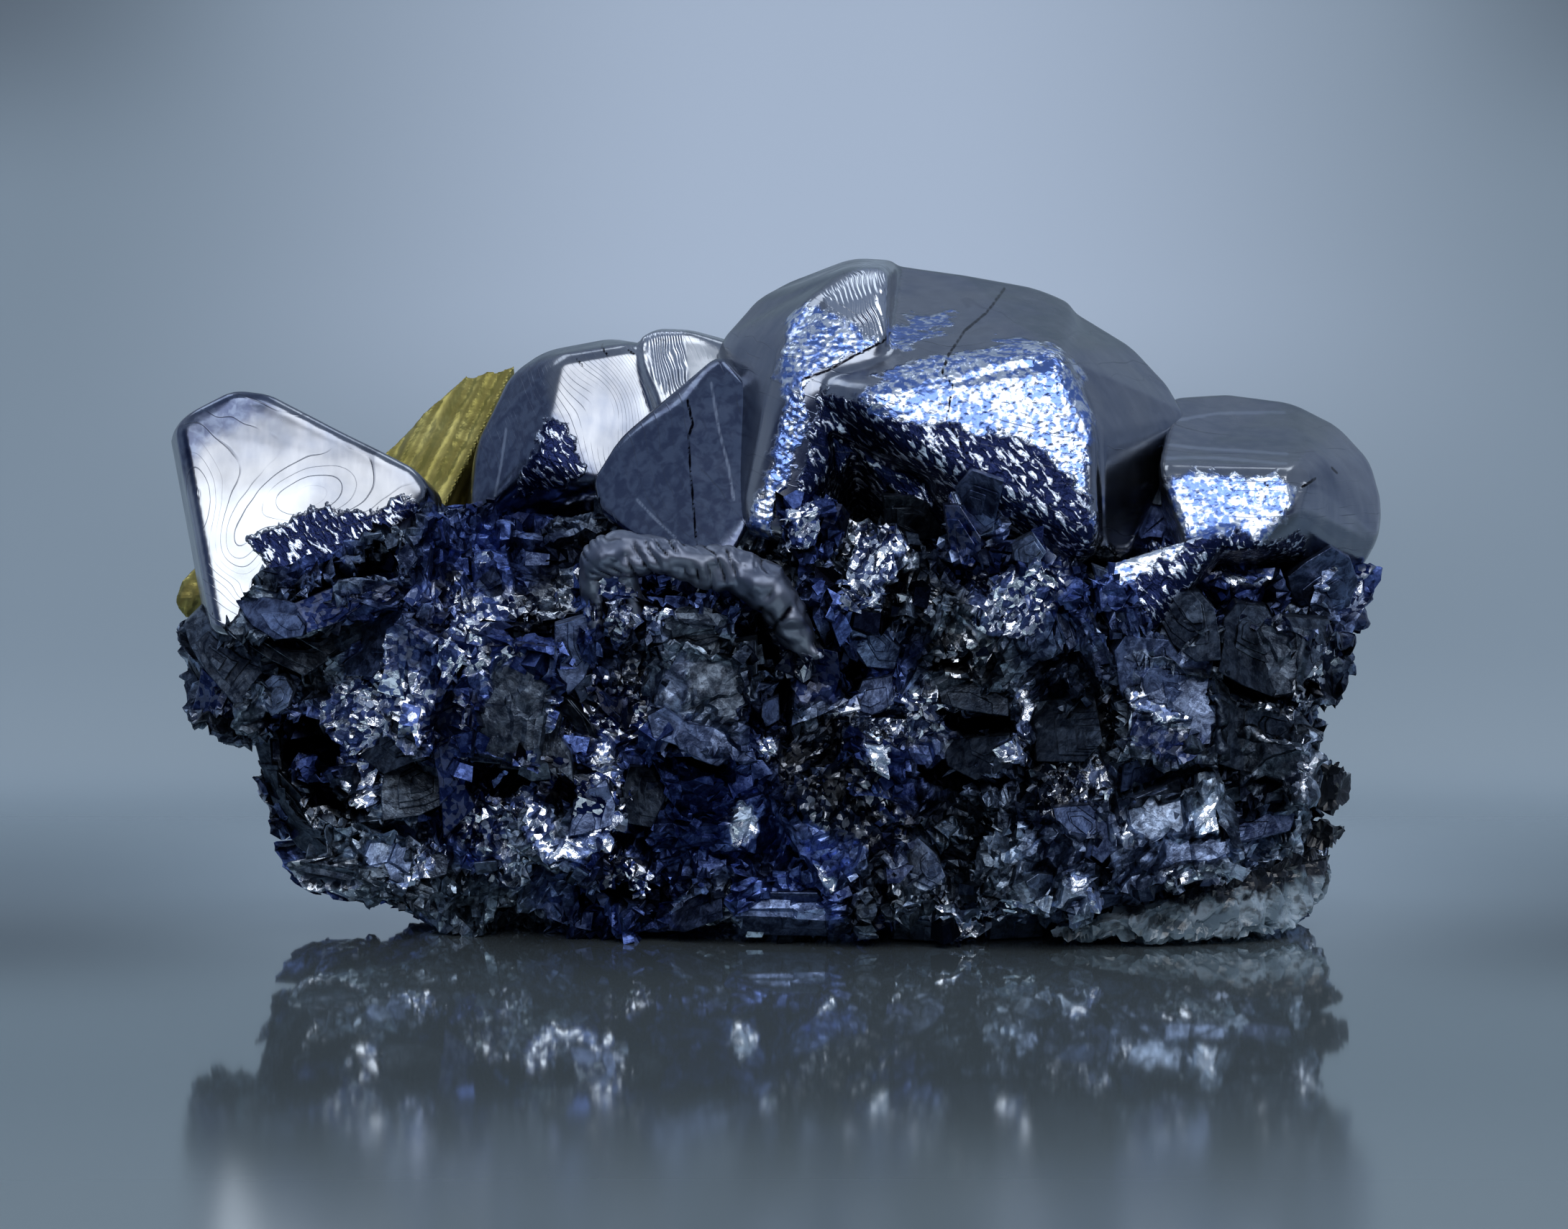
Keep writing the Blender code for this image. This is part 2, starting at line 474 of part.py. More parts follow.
def main():
    remove_everything()
    galena_finish = material(*GALENA)
    chalcopyrite_finish = material(*CHALCOPYRITE)
    quartz_finish = material(*QUARTZ)

    body = rough_body()
    solids = cleavage_blocks(body)
    solids += [body] + [hull(lump) for lump in (LEFT_LUMP, TONGUE, SADDLE, RIGHT_LUMP, RIGHT_KNOB)]
    solids += [crystal(*lobe) for lobe in CRYSTALS]
    solids += [named_block(*placed) for placed in NAMED_BLOCKS]
    solids += [rod(RIDGE, RIDGE_RIB), rod(RIDGE_SPUR)]
    galena = joined("galena", solids, galena_finish)

    guests = {
        "chalcopyrite_wedge": (WEDGE, chalcopyrite_finish),
        "chalcopyrite_small": (SMALL_CHALCOPYRITE, chalcopyrite_finish),
        "quartz_seam": (QUARTZ_SEAM, quartz_finish),
        "quartz_knob_upper": (QUARTZ_KNOB_UPPER, quartz_finish),
        "quartz_knob_lower": (QUARTZ_KNOB_LOWER, quartz_finish),
    }
    cutters = [hull(corners) for corners in HOLLOWS]
    cutters += [pocket(corners) for corners, _ in guests.values()]
    cutters.append(ground_plane())
    cut(galena, as_cutter(joined("cut_away", cutters)))
    keep_largest(galena)

    minerals = [galena]
    for name, (corners, finish) in guests.items():
        shape = grooved(hull(corners, 0)) if name == "chalcopyrite_wedge" else hull(corners, 0)
        minerals.append(new_object(name, shape, finish))
    centre_on_origin(minerals)


main()
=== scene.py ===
"""A hand specimen of galena with chalcopyrite and quartz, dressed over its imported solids.

The rounded galena crystals are hulls of their corners, rounded and grown together. The broken galena is
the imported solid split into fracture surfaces, with cleaved blocks and flakes bedded all over it.
"""

import functools
import itertools
import math
import random

import bpy
import numpy as np
from mathutils import Euler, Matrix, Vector


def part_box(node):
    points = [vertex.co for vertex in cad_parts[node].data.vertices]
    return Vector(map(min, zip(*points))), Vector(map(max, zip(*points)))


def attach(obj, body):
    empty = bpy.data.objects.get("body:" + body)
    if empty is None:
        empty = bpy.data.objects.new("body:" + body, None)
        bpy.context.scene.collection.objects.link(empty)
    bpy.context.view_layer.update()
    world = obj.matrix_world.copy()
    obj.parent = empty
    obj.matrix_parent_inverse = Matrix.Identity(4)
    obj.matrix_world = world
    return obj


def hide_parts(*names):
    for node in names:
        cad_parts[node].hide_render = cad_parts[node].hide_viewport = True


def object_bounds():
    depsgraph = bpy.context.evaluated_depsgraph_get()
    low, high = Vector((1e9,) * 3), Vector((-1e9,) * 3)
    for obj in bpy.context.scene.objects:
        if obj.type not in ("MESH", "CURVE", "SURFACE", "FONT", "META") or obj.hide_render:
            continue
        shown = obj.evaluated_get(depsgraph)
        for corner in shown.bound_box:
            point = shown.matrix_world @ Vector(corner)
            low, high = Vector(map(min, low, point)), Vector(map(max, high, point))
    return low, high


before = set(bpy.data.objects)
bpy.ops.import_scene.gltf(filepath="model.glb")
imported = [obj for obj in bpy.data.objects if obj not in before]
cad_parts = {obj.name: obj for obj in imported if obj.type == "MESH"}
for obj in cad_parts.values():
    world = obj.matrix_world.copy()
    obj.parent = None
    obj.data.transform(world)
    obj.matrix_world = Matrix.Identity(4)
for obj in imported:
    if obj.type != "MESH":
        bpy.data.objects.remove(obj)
cad_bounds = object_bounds()

MM = 0.001
MERGE_GAP = 0.000002
SHARP_EDGE = math.radians(25)
# Corners below are in the part's own millimetres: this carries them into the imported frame, where the
# front of the quartz seam lies elsewhere
OWN_SEAM_FRONT = -0.0202
SLIDE = Vector((0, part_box("quartz_seam")[0].y - OWN_SEAM_FRONT, 0))

VIEW_TARGET = Vector((0.8, 0.7, 22.5)) * MM
VIEW_DISTANCE = 0.450
VIEW_ELEVATION = 4
VIEW_LENS = 138.5
# Each soft box: name, azimuth, elevation, distance, width, height, power, colour
LIGHTS = (
    ("front_soft_box", 12, 31, 0.6, 0.64, 0.32, 1.7, (0.95, 0.97, 1.0)),
    ("rear_left_soft_box", -125, 58, 0.7, 0.4, 0.3, 0.6, (0.85, 0.92, 1.0)),
    ("rear_right_soft_box", 125, 58, 0.7, 0.4, 0.3, 0.6, (0.85, 0.92, 1.0)),
)
LIGHT_TARGET = Vector((0, 0, 0.03))
# The table top, in metres: its size, its middle, where its looks change into the backdrop's from front
# to back, and the steps that its rear edge is drawn up in
TABLE_SIZE, TABLE_Y, SWEEP, SWEEP_STEPS, SWEEP_STEP = (4.0, 2.4, 1), -0.95, (0.03, 0.15), 16, 0.04

# Crystals: how far their edges are rounded, and their corners, in millimetres
LEFT_TABLET = (1.1, [
    (-43.3, -11.8, 36.9), (-42.2, -11.7, 38.1), (-39, -11.5, 39.6), (-36.6, -11.5, 39.4),
    (-25.8, -12.6, 34), (-24.6, -12.6, 32.1), (-27.5, -13.8, 28.9), (-36, -15.7, 21.3),
    (-40.4, -15.4, 22.3), (-44.5, -4.6, 36.3), (-40.2, -3.8, 39.1), (-36.5, -2.6, 38.3),
    (-24.2, -3.6, 31.5), (-41.8, -4.6, 21.3), (-38, 3.9, 30.7), (-30, 4.9, 25.7), (-40, 2.4, 21.7),
    (-25.5, 2.9, 25.7)
])
BACK_DOME = (1.6, [
    (-16.2, -2.6, 41.9), (-9.8, -2.8, 42.9), (-7.8, -4.2, 37.7), (-12.4, -5.4, 32.1), (-17.6, -5.2, 34.1),
    (-23.3, -0.6, 28.2), (-22.2, 0.4, 35.5), (-19.8, 2.9, 40.3), (-17.2, 4.4, 42.1), (-12.2, 5.4, 43),
    (-22.5, 9.4, 29.7), (-20, 13.4, 33.7), (-14, 15.4, 35.7), (-7, 14.4, 33.7), (-8, 9.4, 41.7),
    (-16, 16.4, 25.7), (-6, 8.4, 25.7)
])
BACK_DOME_SHOULDER = (0.9, [
    (-10.4, -3, 42.9), (-8.7, -2.6, 43.7), (-6.2, -2.4, 43.6), (-2.6, -1.8, 42.6), (-4.2, -3.4, 39.9),
    (-8.7, 0.9, 43.8), (-6.2, 1.9, 43.7), (-2.6, 2.9, 42.7), (-8.4, -4.8, 38.5), (-7.4, -4.8, 30.7),
    (-8.6, 7.4, 42.6), (-3, 9.4, 40.7), (-5, 11.4, 33.7), (-1, 6.4, 31.7)
])
SHIELD = (0.7, [
    (-13.2, -10.6, 33.1), (-11.4, -10.6, 35.9), (-12.6, -12.2, 30.7), (-8, -10, 38.1), (-6.4, -11.3, 38.9),
    (-4, -9, 42.1), (-0.6, -11.8, 38.7), (-1.2, -16.6, 30.9), (-2.8, -17.8, 27.9), (-5.6, -17.8, 27.7),
    (-10.4, -15.2, 29.3), (-6, -1.6, 40.1), (-2, -1.6, 41.7), (-12, -3.6, 29.7), (-6, -7.6, 24.7)
])
GREAT_LEFT = (0.9, [
    (-4.2, -3.6, 42.7), (-1.6, -1.6, 45.9), (0.9, 0.4, 47.2), (6, 3.4, 49.1), (9.6, 5.4, 48.8),
    (0.8, -15.2, 42.9), (-0.4, -16.4, 38.3), (-2.1, -18.2, 29.9), (2.6, -17, 40.2), (2.4, -17.2, 33.7),
    (1.4, -18, 28.7), (2.8, -12.9, 46.4), (8.4, -15.2, 42.9), (8.2, -12.6, 48.5), (5.6, -10.6, 48.5),
    (-4, 8.4, 37.7), (0, 12.4, 41.7), (6, 14.4, 42.7), (-2, 10.4, 25.7), (6, -5.6, 25.7)
])
GREAT_FRONT = (1, [
    (2.8, -17.4, 40.1), (6.6, -19.4, 39.9), (19.4, -17.2, 42.3), (20.8, -16.6, 42.2), (23.2, -18.2, 36.5),
    (23.4, -20, 28.7), (16.6, -19.6, 35.1), (9.6, -20, 35.9), (8.2, -14, 42.7), (7, 5, 49),
    (14.4, 3.4, 47.9), (19.8, 2.4, 46.9), (22.8, 1.4, 45.5), (5, 13.4, 41.7), (14, 16.4, 41.7),
    (22, 14.4, 38.7), (14, 17.4, 25.7), (24, 12.4, 25.7), (7, -7.6, 28.7), (18, -11.6, 23.7)
])
GREAT_RIGHT = (1.1, [
    (21, -14.6, 42.3), (20.4, 2.4, 46.3), (26.8, 0.9, 42.5), (29.4, -0.6, 39.6), (30.6, -3.6, 37.5),
    (28.6, -8, 35.9), (26.8, -11.2, 33.9), (25.6, -14.6, 27.7), (23.4, -17.4, 36.3), (23.6, -18.8, 27.7),
    (24, 13.4, 35.7), (28, 8.4, 35.7), (28, 6.4, 25.7), (22, 0.4, 25.7)
])
RIGHT_DOME = (1.5, [
    (27.6, -15.8, 34.3), (38.2, -15.3, 34.1), (37.8, -16.2, 30.9), (34.4, -17.5, 28.5), (29.8, -18, 28.1),
    (29.6, 0.4, 38.8), (33.9, 3.4, 38.9), (38.8, 2.9, 38.3), (42.2, 1.4, 36.6), (44.5, -0.6, 34),
    (45.2, -2.6, 30.9), (44.8, -4.6, 28.5), (43.4, -5.6, 26.3), (40.6, -10.4, 31.1), (31, 12.4, 34.7),
    (38, 12.4, 33.7), (43, 8.4, 28.7), (30, 12.4, 23.7), (41, 6.4, 23.7)
])
RIGHT_FOOT = (0.6, [
    (23.4, -19.2, 27.3), (28.8, -18.2, 26.7), (31, -18.2, 29.3), (33.4, -17.4, 30.3), (26, -20, 22.9),
    (27.4, -19.2, 22.7), (25, -11.6, 25.7), (33, -11.6, 27.7)
])
# The hollow under the great crystal
UNDER_GREAT = [
    (3.4, -23.6, 38.9), (4.4, -23.6, 30.7), (8.6, -23.6, 35.3), (12.6, -23.6, 34.3), (13.4, -23.6, 29.3),
    (4.0, -15.1, 36.7), (5.0, -14.1, 30.7), (11.0, -14.6, 33.1), (12.4, -15.6, 29.7),
]
# The ribbed ridge and its spur: centre and half thickness at each station
RIDGE = [
    ((-12.5, -20.9, 22.8), 0.5), ((-12.9, -21.8, 25.2), 0.8), ((-12.6, -22.3, 27.4), 1.2),
    ((-11.0, -22.7, 28.7), 1.5), ((-9.0, -22.6, 28.3), 1.4), ((-6.6, -22.5, 28.1), 1.5),
    ((-4.2, -22.4, 27.6), 1.65), ((-2.0, -22.3, 27.1), 1.55), ((-0.4, -22.2, 26.2), 1.6),
    ((0.6, -22.0, 24.6), 1.55), ((1.8, -21.8, 22.6), 1.45), ((2.9, -21.4, 20.9), 0.8),
]
RIDGE_SPUR = [((-11.0, -22.0, 28.0), 0.9), ((-10.0, -21.9, 25.9), 0.8), ((-9.6, -21.4, 23.6), 0.8)]
RIDGE_FINENESS = 0.15
# Its ribs: from groove to groove, and how wide (as a share) and deep (in millimetres) a groove is
RIB_SPACING, GROOVE_WIDTH, GROOVE_DEPTH = 0.85 * MM, 0.17, 0.19
# Where along it the skin gets torn and streaked with painted glints and painted shade, in millimetres
TORN_FROM_TO = (21, 25)
# The ribbed ridge's plain skin, apart from its grooves and its torn end, with a faint patchy painted
# highlight
RIDGE_SKIN = {"etched_with_glints": -3, "folded_sheen": -3, "shaded": -3, "lit": -0.7, "welt_highlight": 3, "growth": 0}

# Facets of the broken front, by kind, each with its outline as (x, z) in millimetres
REGIONS = [
    ("green", (-42.9, 22.5), (-41.7, 23.7), (-40.9, 23), (-38.9, 21.8), (-37.5, 20.8), (-36.1, 20.4),
        (-37.8, 18.2), (-38.7, 16.8), (-40.4, 18.5), (-41.5, 19.7), (-42.4, 21.1)),
    ("navy", (-41.5, 19.4), (-40.4, 18.5), (-38.7, 16.8), (-39.2, 15.9), (-41.3, 15.5), (-42.5, 16),
        (-42, 17.3)),
    ("pale", (-36.9, 18.5), (-36.1, 19.2), (-35.2, 19.2), (-34.5, 18.2), (-34.9, 17), (-36.1, 16.3),
        (-36.9, 17.3)),
    ("slate", (-38.7, 24.6), (-36.5, 24.9), (-34.2, 24.6), (-33.2, 23.4), (-33.6, 22.3), (-35.6, 22),
        (-37.4, 22.9)),
    ("navy", (-34.2, 24.6), (-31.3, 25.8), (-28.3, 26.6), (-28.6, 25), (-30.8, 23.4), (-33.2, 22.6),
        (-33.2, 23.4)),
    ("navy", (-28.3, 26.6), (-25.7, 27), (-25.8, 25.6), (-27.6, 24.6), (-28.6, 25)),
    ("gap", (-11.2, 25.9), (-9, 26.6), (-7.4, 25.4), (-8.6, 23.5), (-10.4, 22.4), (-11.4, 23)),
    ("gap", (-33.9, 24.9), (-32.8, 26.8), (-31.3, 28.6), (-25.9, 28.6), (-25.7, 27.2), (-28.5, 26.8),
        (-31.3, 25.9)),
    ("green", (-38.9, 22.3), (-35.9, 21.2), (-33.7, 21), (-31.8, 21.7), (-29.5, 23.1), (-29.7, 21.8),
        (-31.8, 20.4), (-33.7, 19.2), (-36.1, 20.4)),
    ("slate", (-29.7, 22.7), (-26.6, 24.2), (-26, 23.6), (-27.3, 22.3), (-27.6, 20.8), (-27.8, 19.2),
        (-29.5, 19.3), (-30.7, 19.2), (-30.9, 20.1), (-29.5, 21.1)),
    ("spark", (-29.4, 21.1), (-28.5, 22.3), (-27.5, 21.8), (-27.7, 20.4), (-28, 18.9), (-30.6, 18.8),
        (-30.4, 19.3), (-29.5, 19.9)),
    ("navy", (-27.3, 22.3), (-25.9, 23.7), (-23.3, 23.7), (-24.8, 21.6), (-26.4, 19.4), (-27.1, 19.2),
        (-27.5, 20.8)),
    ("blue", (-23.6, 22.5), (-22.1, 23.7), (-21, 23.2), (-20.5, 22.3), (-20.5, 20.8), (-21.5, 19.7),
        (-23.3, 19.4), (-24, 20.4)),
    ("blue", (-33.2, 15.9), (-32.1, 17.8), (-30.4, 18.7), (-27.8, 18.2), (-28.3, 16.3), (-28.3, 14.4),
        (-30.5, 13.5), (-31.6, 14)),
    ("spark", (-31.9, 15.1), (-30.9, 16.8), (-30.3, 15.4), (-30.9, 14)),
    ("spark", (-31.6, 13.3), (-29.5, 13.5), (-28.1, 11.6), (-28.5, 9.7), (-29.5, 9), (-30.7, 9.9),
        (-30.9, 12.1)),
    ("gap", (-36.7, 16.3), (-33.3, 15.9), (-31.4, 13.5), (-32.4, 12.1), (-31, 9.7), (-29.5, 8.5),
        (-29.8, 7.5), (-31.9, 8.3), (-34.3, 9.9), (-36.6, 12.1), (-37.1, 14.4)),
    ("green", (-39, 15.4), (-36.7, 15.4), (-36.6, 12.1), (-34.3, 9.7), (-32.9, 7.3), (-30.7, 5.4),
        (-27.2, 4), (-31.9, 4), (-35, 5.9), (-36.4, 8), (-37.3, 11.1), (-37.8, 13.5)),
    ("green", (-27.9, 12.3), (-25.7, 13.3), (-23.4, 12.3), (-23.4, 10.2), (-25.3, 9.4), (-27.9, 9.1),
        (-28.1, 11.1)),
    ("green", (-28.1, 16.8), (-25.7, 15.4), (-24.8, 13.5), (-25.7, 13.3), (-27.9, 12.3), (-29.8, 13.5),
        (-28.3, 14.4)),
    ("navy", (-24.8, 17.5), (-21.5, 19.2), (-21, 16.8), (-21.7, 14.4), (-22, 11.6), (-21.2, 10.2),
        (-23.6, 7.8), (-23.8, 12.1), (-24.3, 14.4)),
    ("green", (-21, 15.9), (-19.6, 20.4), (-17.7, 20.6), (-15.3, 18.7), (-15.8, 16.1), (-14.4, 14.4),
        (-14.1, 12.1), (-15.8, 13.5), (-18.4, 13.3), (-21.5, 13.5)),
    ("gap", (-21.5, 13.3), (-18.4, 13), (-16, 13.3), (-14.1, 12.1), (-14.4, 10.4), (-16, 12.1),
        (-18.2, 11.6), (-20.1, 10.6), (-21.5, 11.1)),
    ("blue", (-19, 10.9), (-18.2, 11.8), (-16.7, 11.3), (-15.3, 9.9), (-15.3, 8.5), (-17.2, 7.8),
        (-18.6, 9)),
    ("spark", (-19, 10.6), (-18.3, 11.6), (-18.1, 11.1), (-18.4, 9.9)),
    ("spark", (-17, 7.8), (-15.6, 8.5), (-14.4, 8.5), (-13, 9), (-11.5, 8.7), (-11.1, 7.8), (-12.5, 7.3),
        (-13.9, 6.6), (-15.6, 6.8)),
    ("slate", (-14.2, 9.7), (-13, 11.6), (-11.8, 12.5), (-11.1, 10.6), (-11.3, 9.2), (-13, 8.7),
        (-14.4, 8.5)),
    ("spark", (-13, 14.2), (-12, 14.7), (-10.6, 14), (-10.8, 12.5), (-12.3, 12.3), (-13, 13.3)),
    ("slate", (-29.3, 7.3), (-27.4, 8), (-26, 7.3), (-25.8, 5.4), (-26.5, 4.7), (-28.1, 5.6), (-29.3, 6.4)),
    ("spark", (-27.7, 5.2), (-26.7, 4.7), (-25.8, 4.9), (-25.3, 6.8), (-24.1, 7.3), (-23.4, 6.1),
        (-25.1, 4.7), (-26.5, 4.3)),
    ("pale", (-21.5, 5.9), (-19.8, 6.1), (-19.8, 5.3), (-21.3, 4.9)),
    ("spark", (-23, 25.1), (-22.1, 25.8), (-21.7, 24.9), (-22.4, 24.2)),
    ("spark", (-21.9, 27.7), (-20.5, 27.9), (-20.2, 27.2), (-21.4, 27)),
    ("slate", (-21.7, 26.3), (-20.2, 27), (-19.5, 25.8), (-20.5, 25.3)),
    ("green", (-15.5, 18.2), (-14.4, 17.8), (-13, 16.1), (-12.5, 14.7), (-13.9, 15.4), (-15.1, 16.8)),
    ("slate", (-15.5, 23.2), (-12.9, 23.9), (-12.5, 21.6), (-13.4, 19.4), (-14.6, 18.2), (-15.5, 20.4)),
    ("pale", (-14.4, 19.2), (-12.9, 19.7), (-12.9, 18.2), (-13.7, 17.5)),
    ("gap", (-10.8, 26), (-10, 27.2), (-8.8, 26.6), (-8.6, 24.6), (-9.6, 23.3), (-10.9, 24.1)),
    ("gap", (-8.5, 26.4), (-7.6, 25.9), (-5.3, 25.4), (-2.3, 25.6), (-3.1, 25.1), (-5.3, 24.8),
        (-7.6, 24.6), (-8.5, 24.8)),
    ("green", (-7.6, 23.5), (-6.8, 24.4), (-3.5, 25), (-3, 24.3), (-3.1, 22.7), (-4.3, 22.1), (-6.2, 21.7),
        (-7.2, 22.1)),
    ("green", (-5.9, 21.3), (-1.2, 22.3), (-1.1, 18.9), (-1.9, 17.1), (-3.5, 16.9), (-5.7, 18.3)),
    ("slate", (-9, 20.1), (-6.2, 21.5), (-5.9, 19.1), (-6.6, 17.9), (-8.4, 18.7)),
    ("pale", (-8.4, 19.1), (-7.2, 19.4), (-6.7, 18.1), (-6.6, 17.1), (-7.4, 17.5)),
    ("slate", (-8.8, 17.1), (-7.6, 17.7), (-5.9, 16.5), (-3.1, 16), (-2.3, 14.4), (-3.9, 13.4), (-5.5, 14),
        (-6.8, 15), (-8.4, 15.6)),
    ("gap", (-8.4, 15.4), (-6.8, 14.8), (-5.5, 13.9), (-3.7, 13.2), (-4.1, 12.7), (-5.9, 13.4),
        (-7.6, 14.2)),
    ("blue", (5.6, 27.8), (6.3, 30.6), (7.1, 30.8), (7.9, 30), (9.1, 28), (8.9, 26.8), (7.5, 26),
        (5.8, 26)),
    ("spark", (2.8, 27.6), (4.8, 28.2), (5.6, 26.8), (5.9, 25.8), (5.9, 24.3), (4.6, 24.8), (3.6, 26)),
    ("blue", (6, 25.8), (8.3, 26.2), (7.7, 24.3), (6.2, 23.9)),
    ("gap", (1.9, 26.2), (3.6, 25.4), (5.6, 23.9), (5.3, 23), (3.6, 23.9), (2, 25.4)),
    ("gap", (8.1, 25.2), (9.1, 27.4), (10.2, 27), (9.5, 25.4), (9.3, 23.1), (7.7, 23.7)),
    ("gap", (-1.1, 23.9), (-0.3, 22.1), (0.8, 21.3), (0.4, 19.1), (-0.7, 19.1), (-1, 21.9)),
    ("gap", (0.5, 19.9), (1.3, 19.1), (1.3, 16), (0.6, 14.8), (0.4, 17.9)),
    ("navy", (2.6, 20.7), (3.6, 21.5), (4.6, 21.3), (4.8, 19.5), (4.4, 17.9), (3.2, 17.5), (1.6, 17.5),
        (1.4, 18.7)),
    ("gap", (4.8, 19.5), (5.8, 20.7), (5.6, 21.5), (6.4, 19.1), (6, 17.9), (5.4, 17.5)),
    ("slate", (5.4, 23.9), (7.5, 23.1), (9.1, 21.5), (8.7, 19.9), (6.7, 20.1), (5.6, 21.9)),
    ("slate", (6.4, 19.1), (8.5, 19.5), (8.7, 17.5), (7.1, 16.7), (5.6, 17.1)),
    ("white", (6.3, 15.2), (7.3, 15.9), (8.1, 15), (8.3, 13.2), (7.3, 13.1), (6.8, 14.4)),
    ("white", (-3.1, 9.8), (-2.3, 11), (-1, 9.4), (-1.5, 8.2), (-2.7, 7.3), (-3.1, 8.4)),
    ("pale", (9.5, 7.2), (10.3, 8), (11.7, 6.8), (12.3, 5.3), (11.3, 4.5), (10.3, 4.9), (9.5, 6.1)),
    ("white", (2.8, 6.7), (3.4, 6.6), (4.4, 4.7), (4.3, 4.1), (3.4, 5.3)),
    ("gap", (10.9, 20.5), (13.8, 20.3), (14, 21.3), (14.4, 19.9), (13, 19.5), (11.1, 19.8)),
    ("gap", (12.1, 17.1), (13.5, 16.2), (16.8, 16.7), (16.8, 15.6), (13.5, 15.2), (12.3, 16)),
    ("green", (11.5, 19.1), (14.2, 19.1), (16.8, 17.9), (16.8, 16.7), (13.8, 17.1), (12.1, 17.5)),
    ("green", (12.1, 14.8), (16.8, 15.4), (16.8, 13.2), (14.4, 12.2), (12.5, 13)),
    ("gap", (10.3, 12.8), (12.1, 13.2), (14.4, 12.1), (16.8, 12.2), (16.8, 11.4), (14.4, 11.6),
        (11.3, 12.2)),
    ("slate", (-7.5, 2.5), (-5.3, 3.5), (-3.7, 4.1), (-3.6, 2.1), (-6.3, 0.9), (-7.5, 0.9)),
    ("pale", (8.7, 0.2), (12.9, 0.3), (12.9, 2.3), (8.7, 2.5)),
    ("white", (13.8, 0.2), (15.2, 0.2), (15.2, 1.6), (13.8, 1.6)),
    ("pale", (15.6, 0.2), (19.5, 0.2), (19.3, 2.2), (15.8, 2.4)),
    ("slate", (-2.7, 2.5), (-0.3, 4.1), (3.2, 4.1), (3.9, 3.1), (3.9, 0.7), (-2.5, 0.7)),
    ("navy", (-12.9, 19.1), (-11.6, 17.9), (-10.4, 18.1), (-10, 16.7), (-10.4, 15.4), (-12.2, 17.1)),
    ("pale", (-14.1, 18.9), (-12.9, 19.3), (-13.5, 17.5), (-14.1, 17.9)),
    ("spark", (-12.6, 14.4), (-11, 14.6), (-11.2, 13), (-12.6, 12.4), (-12.8, 13.4)),
    ("slate", (-14.1, 10.8), (-13, 11.8), (-11.6, 12), (-11.2, 10.2), (-12, 8.8), (-14.1, 9.4)),
    ("spark", (-14.1, 8.2), (-13, 8.8), (-11.4, 8.4), (-11.8, 7.6), (-13.8, 7.6)),
    ("gap", (-14.2, 3.5), (-7.6, 4.1), (-7.5, 2.7), (-14.2, 2.3)),
    ("green", (-10.2, 13.2), (-8.2, 13), (-7.6, 11), (-8.6, 9), (-10.2, 9.4), (-10.6, 11.6)),
    ("fine", (0.8, 14.6), (5.6, 15.2), (6.2, 14), (8.5, 12.8), (8.7, 9), (7.2, 7.4), (3.6, 8.6),
        (0.8, 10.4), (0.4, 12.8)),
    ("spark", (-0.5, 16), (0.4, 15.6), (0.4, 14), (-0.5, 13.6), (-0.9, 14.6)),
    ("slate", (-0.7, 17.7), (0.4, 18.1), (0.5, 16.4), (-0.3, 16), (-0.8, 16.7)),
    ("slate", (13.3, 31.7), (15.9, 31.7), (15.7, 30.2), (14.8, 29.6), (14, 30.4)),
    ("navy", (12.2, 31.7), (13.3, 31.7), (14.8, 29.4), (14.8, 28.5), (12.9, 27.2), (12.5, 29.6)),
    ("pale", (17, 28.9), (18.5, 29.8), (19.4, 28.5), (18.7, 27.6), (17.2, 27.8)),
    ("blue", (13.8, 26.8), (15.5, 27.2), (18.1, 27.8), (20.2, 27.6), (20.9, 26.5), (19.8, 24.6),
        (18.7, 22.6), (16.4, 22), (14.4, 23.1), (14, 24.8)),
    ("pale", (22.8, 27.4), (23.9, 27), (25.3, 23.3), (24.6, 23.1), (23.3, 25.5)),
    ("pale", (22.4, 24.2), (22.9, 24.4), (24.2, 22), (23.7, 21.5)),
    ("pale", (23.3, 24), (23.8, 23.8), (24.7, 22.6), (24.4, 22.2)),
    ("slate", (19.9, 25), (20.5, 25), (21.7, 21.8), (21.1, 21.4), (20.3, 23.1)),
    ("gap", (26.3, 23.3), (27.6, 23.7), (28.1, 22.4), (28.5, 21.3), (26.8, 22.2)),
    ("green", (26.7, 24.6), (28, 25.5), (30.4, 25.5), (31.4, 24.4), (31.7, 22.4), (31.7, 20.9), (30, 20.7),
        (28.5, 21.8), (27.6, 23.5)),
    ("slate", (24.2, 21.5), (25, 22.6), (28.1, 22.2), (28.9, 21.1), (31.1, 20.7), (31.4, 19.6),
        (31.4, 14.6), (30, 15.9), (27.6, 16.8), (25.5, 17), (24.6, 18.7)),
    ("spark", (24.6, 19.2), (26.3, 18.7), (27.2, 17.9), (28.1, 17.4), (30, 16.8), (28.9, 16.4),
        (26.8, 16.9), (25.5, 17.6)),
    ("green", (32.2, 23.5), (33.2, 24.6), (35.4, 24.2), (36.5, 22.2), (37.2, 17.9), (35.9, 17.9),
        (33.5, 18.9), (31.6, 20), (32.1, 21.8)),
    ("green", (36.8, 23.5), (40.2, 23.1), (40.4, 22), (39.3, 20.5), (37.8, 18.7), (37.3, 18.5),
        (36.9, 21.3)),
    ("gap", (31.4, 19.8), (33.7, 18.7), (35.9, 17.7), (37.6, 17.9), (38.9, 18.7), (39.8, 17.9),
        (37.6, 17.1), (35.4, 17.4), (32.8, 18.3), (31.5, 17.4)),
    ("slate", (37.3, 26.1), (38.6, 27.2), (40.4, 28.3), (41.9, 27.4), (42.6, 25.7), (42.1, 23.7),
        (40.6, 23.3), (38.4, 23.9), (37.6, 25)),
    ("spark", (38.6, 26.8), (38.8, 27.8), (40.1, 28.3), (40.6, 27.4), (39.7, 26.5), (40.4, 25.2),
        (39.5, 25)),
